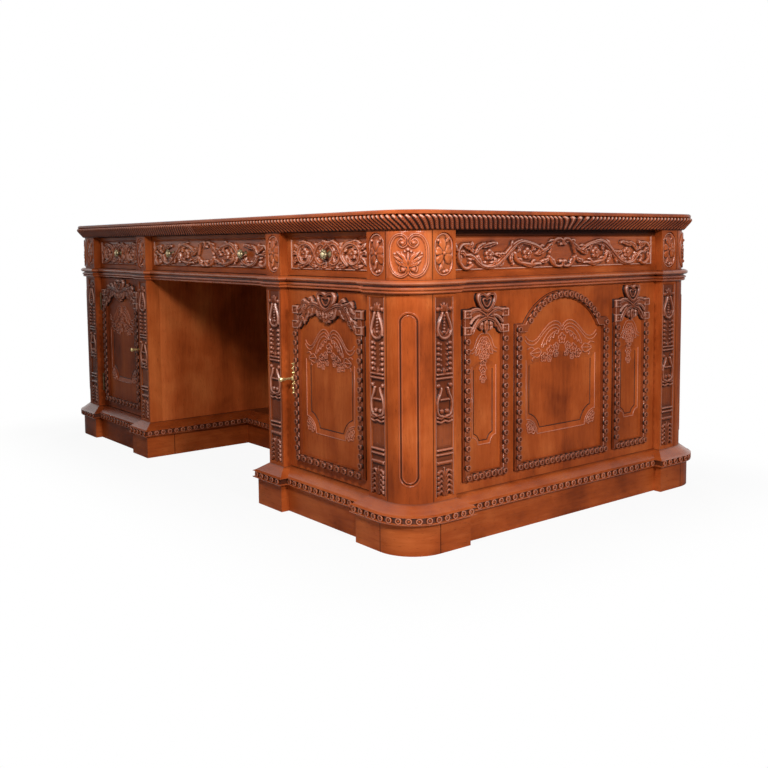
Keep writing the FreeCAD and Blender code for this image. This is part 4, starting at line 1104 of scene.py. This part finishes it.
narrowCrest = {
    "edge": 6.0, "step": 1.2,
    "reeds": [((6.4, 5.0, 9.5, 2), [[(4, 548), (18, 556), (34, 561), (50, 558), (58, 551)]]),
              ((6.6, 5.0, 9.5, 2), [[(6, 542), (24, 536), (38, 523), (48, 508)]]),
              ((4.0, 3.4, 9.5, 2), [[(12, 546), (30, 546), (44, 540), (54, 530)]])],
    "stems": [((7, 7, 5.0), [[(64, 540), (64, 524)]])],
    "leaves": [((6.5, 8.5, 2), [[(14, 530), (18, 520), (12, 510)], [(0, 536), (2, 520), (0, 503)],
                                [(28, 533), (34, 522), (46, 516)]])],
    "tiles": [((24, 22, 9.0), [(64, 552), (64, 512)])],
    "flowers": [((10, 5, 10.0), [(0, 545)])],
    "hearts": [((29, 43), [(0, 578)])],
}


def crestRelief(design, width, stretch=1.0):
    low, high = frameHead - crest["below"], waistBase - crest["above"]
    relief = Relief(width + 2 * design["edge"], low, high, design["step"], crest["ground"])
    return relief.draw(design, frameHead - crest["headMark"], stretch).mirrored().padded(crest["pad"], crest["shade"])


def fieldLevel(shape, u, v):
    # height of the board's surface at each point, 0 outside the sunk field
    aside = np.abs(u)
    head = shape["head"] + shape["crown"] * (1 - (u / shape["half"]) ** 2)
    inside = np.minimum(np.minimum(shape["half"] - aside, v - shape["foot"]), head - v)
    inside = np.minimum(inside, np.hypot(aside - shape["half"], v - shape["foot"]) - shape["notch"])
    return -shape["depth"] * np.clip(inside / shape["slope"], 0, 1)


def fieldEdge(shape, inset):
    # line down one side of the field, round its hollow corners and up the other side
    half, radius = shape["half"], shape["notch"] + inset
    turn = math.degrees(math.asin(inset / radius))
    bend = spiral(half, shape["foot"], radius, radius, 90 + turn, 180 - turn, 12)
    side = np.vstack([[(half - inset, shape["head"] - inset)], bend, [(0, shape["foot"] + inset)]])
    return np.vstack([side, side[-2::-1] * (-1, 1)])


def frameLine(shape, inset):
    # outline of a bead frame, set in from its outer edge
    half, foot, head = shape["width"] / 2 - inset, frameFoot + inset, frameHead - inset
    if not shape["arched"]:
        return [(-half, foot), (half, foot), (half, head), (-half, head), (-half, foot)]
    middle, radius = archOf(shape)
    ear = arch["ear"] - inset if inset < frameBeads["width"] / 2 else arch["spring"]
    inner = radius - inset
    turn = math.acos((ear - middle) / inner)
    bend = [(inner * math.sin(a), middle + inner * math.cos(a)) for a in np.linspace(turn, -turn, 25)]
    return [(-half, foot), (half, foot), (half, ear)] + bend + [(-half, ear), (-half, foot)]


def linePart(shape, place, lines, radius, lift, glazeAndPaintedLight):
    # sweeps each line round, and closes it where its ends meet
    curve = bpy.data.curves.new("lines", "CURVE")
    curve.dimensions, curve.bevel_depth, curve.bevel_resolution, curve.use_fill_caps = "3D", radius / perMetre, 1, True
    for line in lines:
        line = np.asarray(line, float)
        closed = bool(np.hypot(*(line[0] - line[-1])) < 0.01)
        u, v = (line[:-1] if closed else line).T
        row = curve.splines.new("POLY")
        row.points.add(len(u) - 1)
        spots = place(u, v, fieldLevel(shape, u, v) + lift)
        row.points.foreach_set("co", np.column_stack([spots, np.ones(len(u))]).ravel())
        row.use_cyclic_u = closed
    holder = bpy.data.objects.new("lines", curve)
    mesh = bpy.data.meshes.new_from_object(holder)
    joinedUp(mesh, 1e-7)
    bpy.data.objects.remove(holder)
    bpy.data.curves.remove(curve)
    return mesh, np.full(len(mesh.vertices), glazeAndPaintedLight)


# garlands cut in thin lines on the fields, right half; flowers: (along, height, radius)
garlands = {
    "swag": {
        "lines": [
            [(2, 500), (8, 510), (24, 517), (42, 516), (62, 507), (82, 492), (102, 476), (120, 470), (138, 474),
             (150, 484)],
            [(2, 491), (10, 501), (26, 508), (44, 506), (64, 497), (84, 482), (104, 466), (122, 460), (140, 464),
             (152, 474)],
            [(12, 494), (28, 500), (46, 496), (62, 486), (76, 471), (86, 454), (79, 452), (73, 462), (67, 457),
             (61, 470), (53, 464), (46, 478), (37, 473), (30, 486), (20, 483), (12, 494)],
            [(84, 440), (98, 450), (116, 446), (130, 438), (116, 430), (98, 427), (84, 440)],
            [(84, 440), (104, 439), (130, 438)], [(112, 447), (126, 454), (142, 450)],
            [(112, 429), (122, 424), (118, 418)], [(20, 492), (40, 486), (62, 472)]],
        "flowers": [(0, 470, 15), (24, 450, 11), (48, 440, 15), (72, 425, 13), (22, 430, 8.5), (48, 418, 8)]},
    "husks": {
        "lines": [
            [(0, 502), (14, 500), (26, 486), (34, 468), (44, 462)],
            [(0, 493), (11, 491), (21, 477), (31, 459), (43, 454)],
            [(0, 424), (9, 420), (13, 411)], [(0, 400), (8, 396), (12, 387)],
            [(14, 467), (24, 462), (30, 451), (20, 452), (14, 467)]],
        "flowers": [(0, 482, 9.5), (12, 470, 8.5), (0, 456, 9), (10, 446, 7.5), (0, 430, 10), (0, 407, 9),
                    (0, 386, 7.5)]},
}
spray = {"rib": 37, "ribFrom": 98, "ribTo": 172, "bloom": (14, 15, 11),
         "buds": (104, 124, 146, 166), "budReach": 28, "budSize": 5.6}
# each cut: radius, lift off the surface, and glaze and painted light mask: below 0 a painted highlight, above 0 painted
# shade
lineCut = {"light": (1.7, 0.9, -0.36), "shade": (3.8, -2.9, 0.8), "fieldRim": (1.4, 0.2, -0.4),
           "fieldFoot": (1.4, 0.1, 0.7), "frameRim": (1.2, frameRise - 1.2, -0.6), "frameFoot": (1.8, 0.0, 0.9),
           "frameInset": 3.5, "footInset": 0.3}


def flowerLines(u, v, radius, petals=5, turn=90.0):
    a = np.linspace(0, 2 * math.pi, 8 * petals + 1)
    r = radius * (0.60 + 0.40 * np.abs(np.cos(petals * (a - math.radians(turn)) / 2)) ** 0.8)
    return [np.stack([u + r * np.cos(a), v + r * np.sin(a)], 1), spiral(u, v, 0.26 * radius, 0.26 * radius, 0, 360, 9)]


def garlandLines(shape):
    design, stretch, lift = garlands[shape["garland"]], shape["stretch"], shape["lift"]
    lines = [smoothLine(*shifted(path, lift, stretch), n=6) for path in design["lines"]]
    for u, v, radius in design["flowers"]:
        lines += flowerLines(u * stretch, v + lift, radius * (0.5 + 0.5 * min(stretch, 1.2)))
    return lines + [line * (-1, 1) for line in lines if np.abs(line[:, 0].mean()) > 1]


def cornerSprays(shape):
    # flower sprays in the two hollow lower corners of a field
    half, foot, (inset, rise, size) = shape["half"], shape["foot"], spray["bloom"]
    lines = [spiral(half, foot, spray["rib"], spray["rib"], spray["ribFrom"], spray["ribTo"], 20)]
    lines += flowerLines(half - inset, foot + rise, size)
    for angle in spray["buds"]:
        a = math.radians(angle)
        u, v = half + spray["budReach"] * math.cos(a), foot + spray["budReach"] * math.sin(a)
        lines += flowerLines(u, v, spray["budSize"], 3, angle)[:1]
    return lines + [line * (-1, 1) for line in lines]


def panelCuts(shape):
    # garland lines with painted highlight on them and painted shade beside them, the sunk field's rim with a painted
    # highlight and its foot with painted shade, the frame's rims with painted highlights and its foot with a painted
    # shadow
    lines = garlandLines(shape) + (cornerSprays(shape) if shape["garland"] == "swag" else [])
    rims = [frameLine(shape, inset) for inset in (lineCut["frameInset"], frameBeads["width"] - lineCut["frameInset"])]
    return [(lines, *lineCut["light"]), (lines, *lineCut["shade"]), ([fieldEdge(shape, 0)], *lineCut["fieldRim"]),
            ([fieldEdge(shape, shape["slope"])], *lineCut["fieldFoot"]), (rims, *lineCut["frameRim"]),
            ([frameLine(shape, lineCut["footInset"])], *lineCut["frameFoot"])]


crests = {"door": crestRelief(doorCrest, panels["door"]["width"], panels["door"]["width"] / 2 / crest["doorHalf"]),
          "narrow": crestRelief(narrowCrest, panels["narrow"]["width"])}
for name, (body, spots) in panelSpots.items():
    ending = "" if "Door" in name else "s"
    placed = [(kind, onSide(side, along, face)) for side, along, face, kind in spots]
    jobs = [(crests[kind], place) for kind, place in placed if kind in crests]
    carvedPiece(name + "Crest" + ending, jobs, body, darkLevel)
    parts = (linePart(panels[kind], place, *cut) for kind, place in placed for cut in panelCuts(panels[kind]))
    newPiece(name + "Garland" + ending, parts, body, carvedUpright)
print("crests and garlands carved")

# brass plate of lobes on a bar, in place of each flat escutcheon
plate = {"length": 80.0, "reach": 8.5, "rise": 6.5, "bar": 2.2, "flat": 1.9, "edge": (1.5, 2.0),
         "grid": (0.7, -1.2, 3.0),      # step, ground and fall of its relief
         "lobes": [(-0.5, 0.32), (-0.34, 0.55), (-0.19, 0.42), (0.19, 0.42), (0.34, 0.55), (0.5, 0.32)]}


def lobedPlate(name, node, body):
    low, high = millimetres(node)
    middle, along, (edge, endEdge) = (low[2] + high[2]) / 2, (low[0] + high[0]) / 2, plate["edge"]
    relief = Relief(high[0] - low[0] + 2 * edge, low[2] - endEdge, high[2] + endEdge, *plate["grid"])
    for share, size in plate["lobes"]:
        relief.boss(0, middle + share * plate["length"], size * plate["reach"], plate["rise"])
    for sign in (1, -1):
        bar = [(0, middle + sign * share * plate["length"]) for share in (0.14, 0.5)]
        relief.stem(bar, plate["bar"], plate["bar"], 0.5 * plate["rise"])
    relief.strip([(0, middle - 0.05), (0, middle + 0.05)], plate["reach"], plate["flat"], 0.0)
    piece = carvedPiece(name, [(relief, onSide("front", along, doorFace))], body, polishedBrass, "polished_brass")
    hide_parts(node)


lobedPlate("rightLobedPlate", "right_escutcheon", "right_door")
lobedPlate("leftLobedPlate", "left_escutcheon", "left_door")
print("escutcheons set")

# floor, light and camera; lamps: place, size, power, tint
studio = {"floorHalf": 14.0, "ambient": 0.035, "nearShare": 0.93, "clearBy": 0.45, "aim": (0.0, 0.0, 0.45), "lamps": {
    "keyLamp": ((1.35, -1.35, 1.35), 0.3, 18.0, (1.0, 0.98, 0.95)),
    "sideLamp": ((3.2, -0.8, 1.6), 0.4, 52.0, (1, 1, 1)),
    "backLamp": ((-2.4, 2.6, 2.1), 1.4, 80.0, (1, 1, 1))}}


def makeFloor():
    bm = bmesh.new()
    bmesh.ops.create_grid(bm, x_segments=4, y_segments=4, size=studio["floorHalf"])
    floor = addObject("floor", meshOf("floor", bm))
    finish, shader, place = newFinish("paleFloor")
    plugIn(shader, "Base Color", (place.noise(2.0, 3.0) * 0.3).blend((0.62, 0.62, 0.62, 1), (0.58, 0.58, 0.58, 1)))
    plugIn(shader, "Roughness", 0.9)
    # distance outside the desk's plan, so that its shadow fades into white
    outX, outY = (place.math("MAXIMUM", axis.size() - edge, 0.0) for axis, edge in zip(place.axes()[:2], cadBox[1]))
    away = place.math("SQRT", outX * outX + outY * outY)
    rays = place.node("LightPath", output="Is Camera Ray")
    white = place.node("Emission", {}, {"Color": (1, 1, 1, 1), "Strength": 1.0})
    share = rays * (studio["nearShare"] + away.step(0.0, studio["clearBy"]) * (1 - studio["nearShare"]))
    mixed = place.node("MixShader", {}, {0: share, 1: Sock(place.tree, shader.outputs[0]), 2: white})
    plugIn(place.tree.nodes["Material Output"], "Surface", mixed)
    floor.data.materials.append(finish)


def makeLamp(name, place, size, power, tint):
    light = bpy.data.lights.new(name, "AREA")
    light.shape, light.size, light.energy, light.color = "SQUARE", size, power, tint
    lamp = addObject(name, light)
    lamp.location, lamp.visible_camera = place, False
    lamp.rotation_mode = "QUATERNION"
    lamp.rotation_quaternion = (Vector(studio["aim"]) - Vector(place)).to_track_quat("-Z", "Y")


def makeWorld():
    world = bpy.data.worlds.new("studio")
    world.use_nodes = True
    bpy.context.scene.world = world
    start, back = Sock(world.node_tree), world.node_tree.nodes["Background"]
    kinds = ("Camera", "Glossy", "Transmission")
    seen, glossy, clear = (start.node("LightPath", output=f"Is {kind} Ray") for kind in kinds)
    bright = (seen + glossy + clear).limited()
    plugIn(back, "Color", (1, 1, 1, 1))
    plugIn(back, "Strength", studio["ambient"] + bright * (1.0 - studio["ambient"]))


photoView = {"place": (2.6397, -1.917, 0.7252), "azimuth": 51.677, "elevation": 4.8485, "roll": -0.527,
             "focal": 949.62, "middle": 323.45, "image": 768, "sensor": 36}


def makeCamera():
    a, e, r = (math.radians(photoView[key]) for key in ("azimuth", "elevation", "roll"))
    back = Vector((math.sin(a) * math.cos(e), -math.cos(a) * math.cos(e), math.sin(e)))
    right = Vector((math.cos(a), math.sin(a), 0))
    up = back.cross(right)
    rolledRight, rolledUp = right * math.cos(r) + up * math.sin(r), up * math.cos(r) - right * math.sin(r)
    lens = bpy.data.cameras.new("photoView")
    lens.sensor_width = photoView["sensor"]
    lens.lens = photoView["focal"] / photoView["image"] * photoView["sensor"]
    lens.shift_y = (photoView["middle"] - photoView["image"] / 2) / photoView["image"]
    camera = addObject("photoView", lens)
    turned = Matrix((rolledRight, rolledUp, back)).transposed().to_4x4()
    camera.matrix_world = Matrix.Translation(photoView["place"]) @ turned
    bpy.context.scene.camera = camera


makeFloor()
for lampName, lampFacts in studio["lamps"].items():
    makeLamp(lampName, *lampFacts)
makeWorld()
makeCamera()
bpy.context.scene.view_settings.view_transform = "Standard"
print("studio ready")
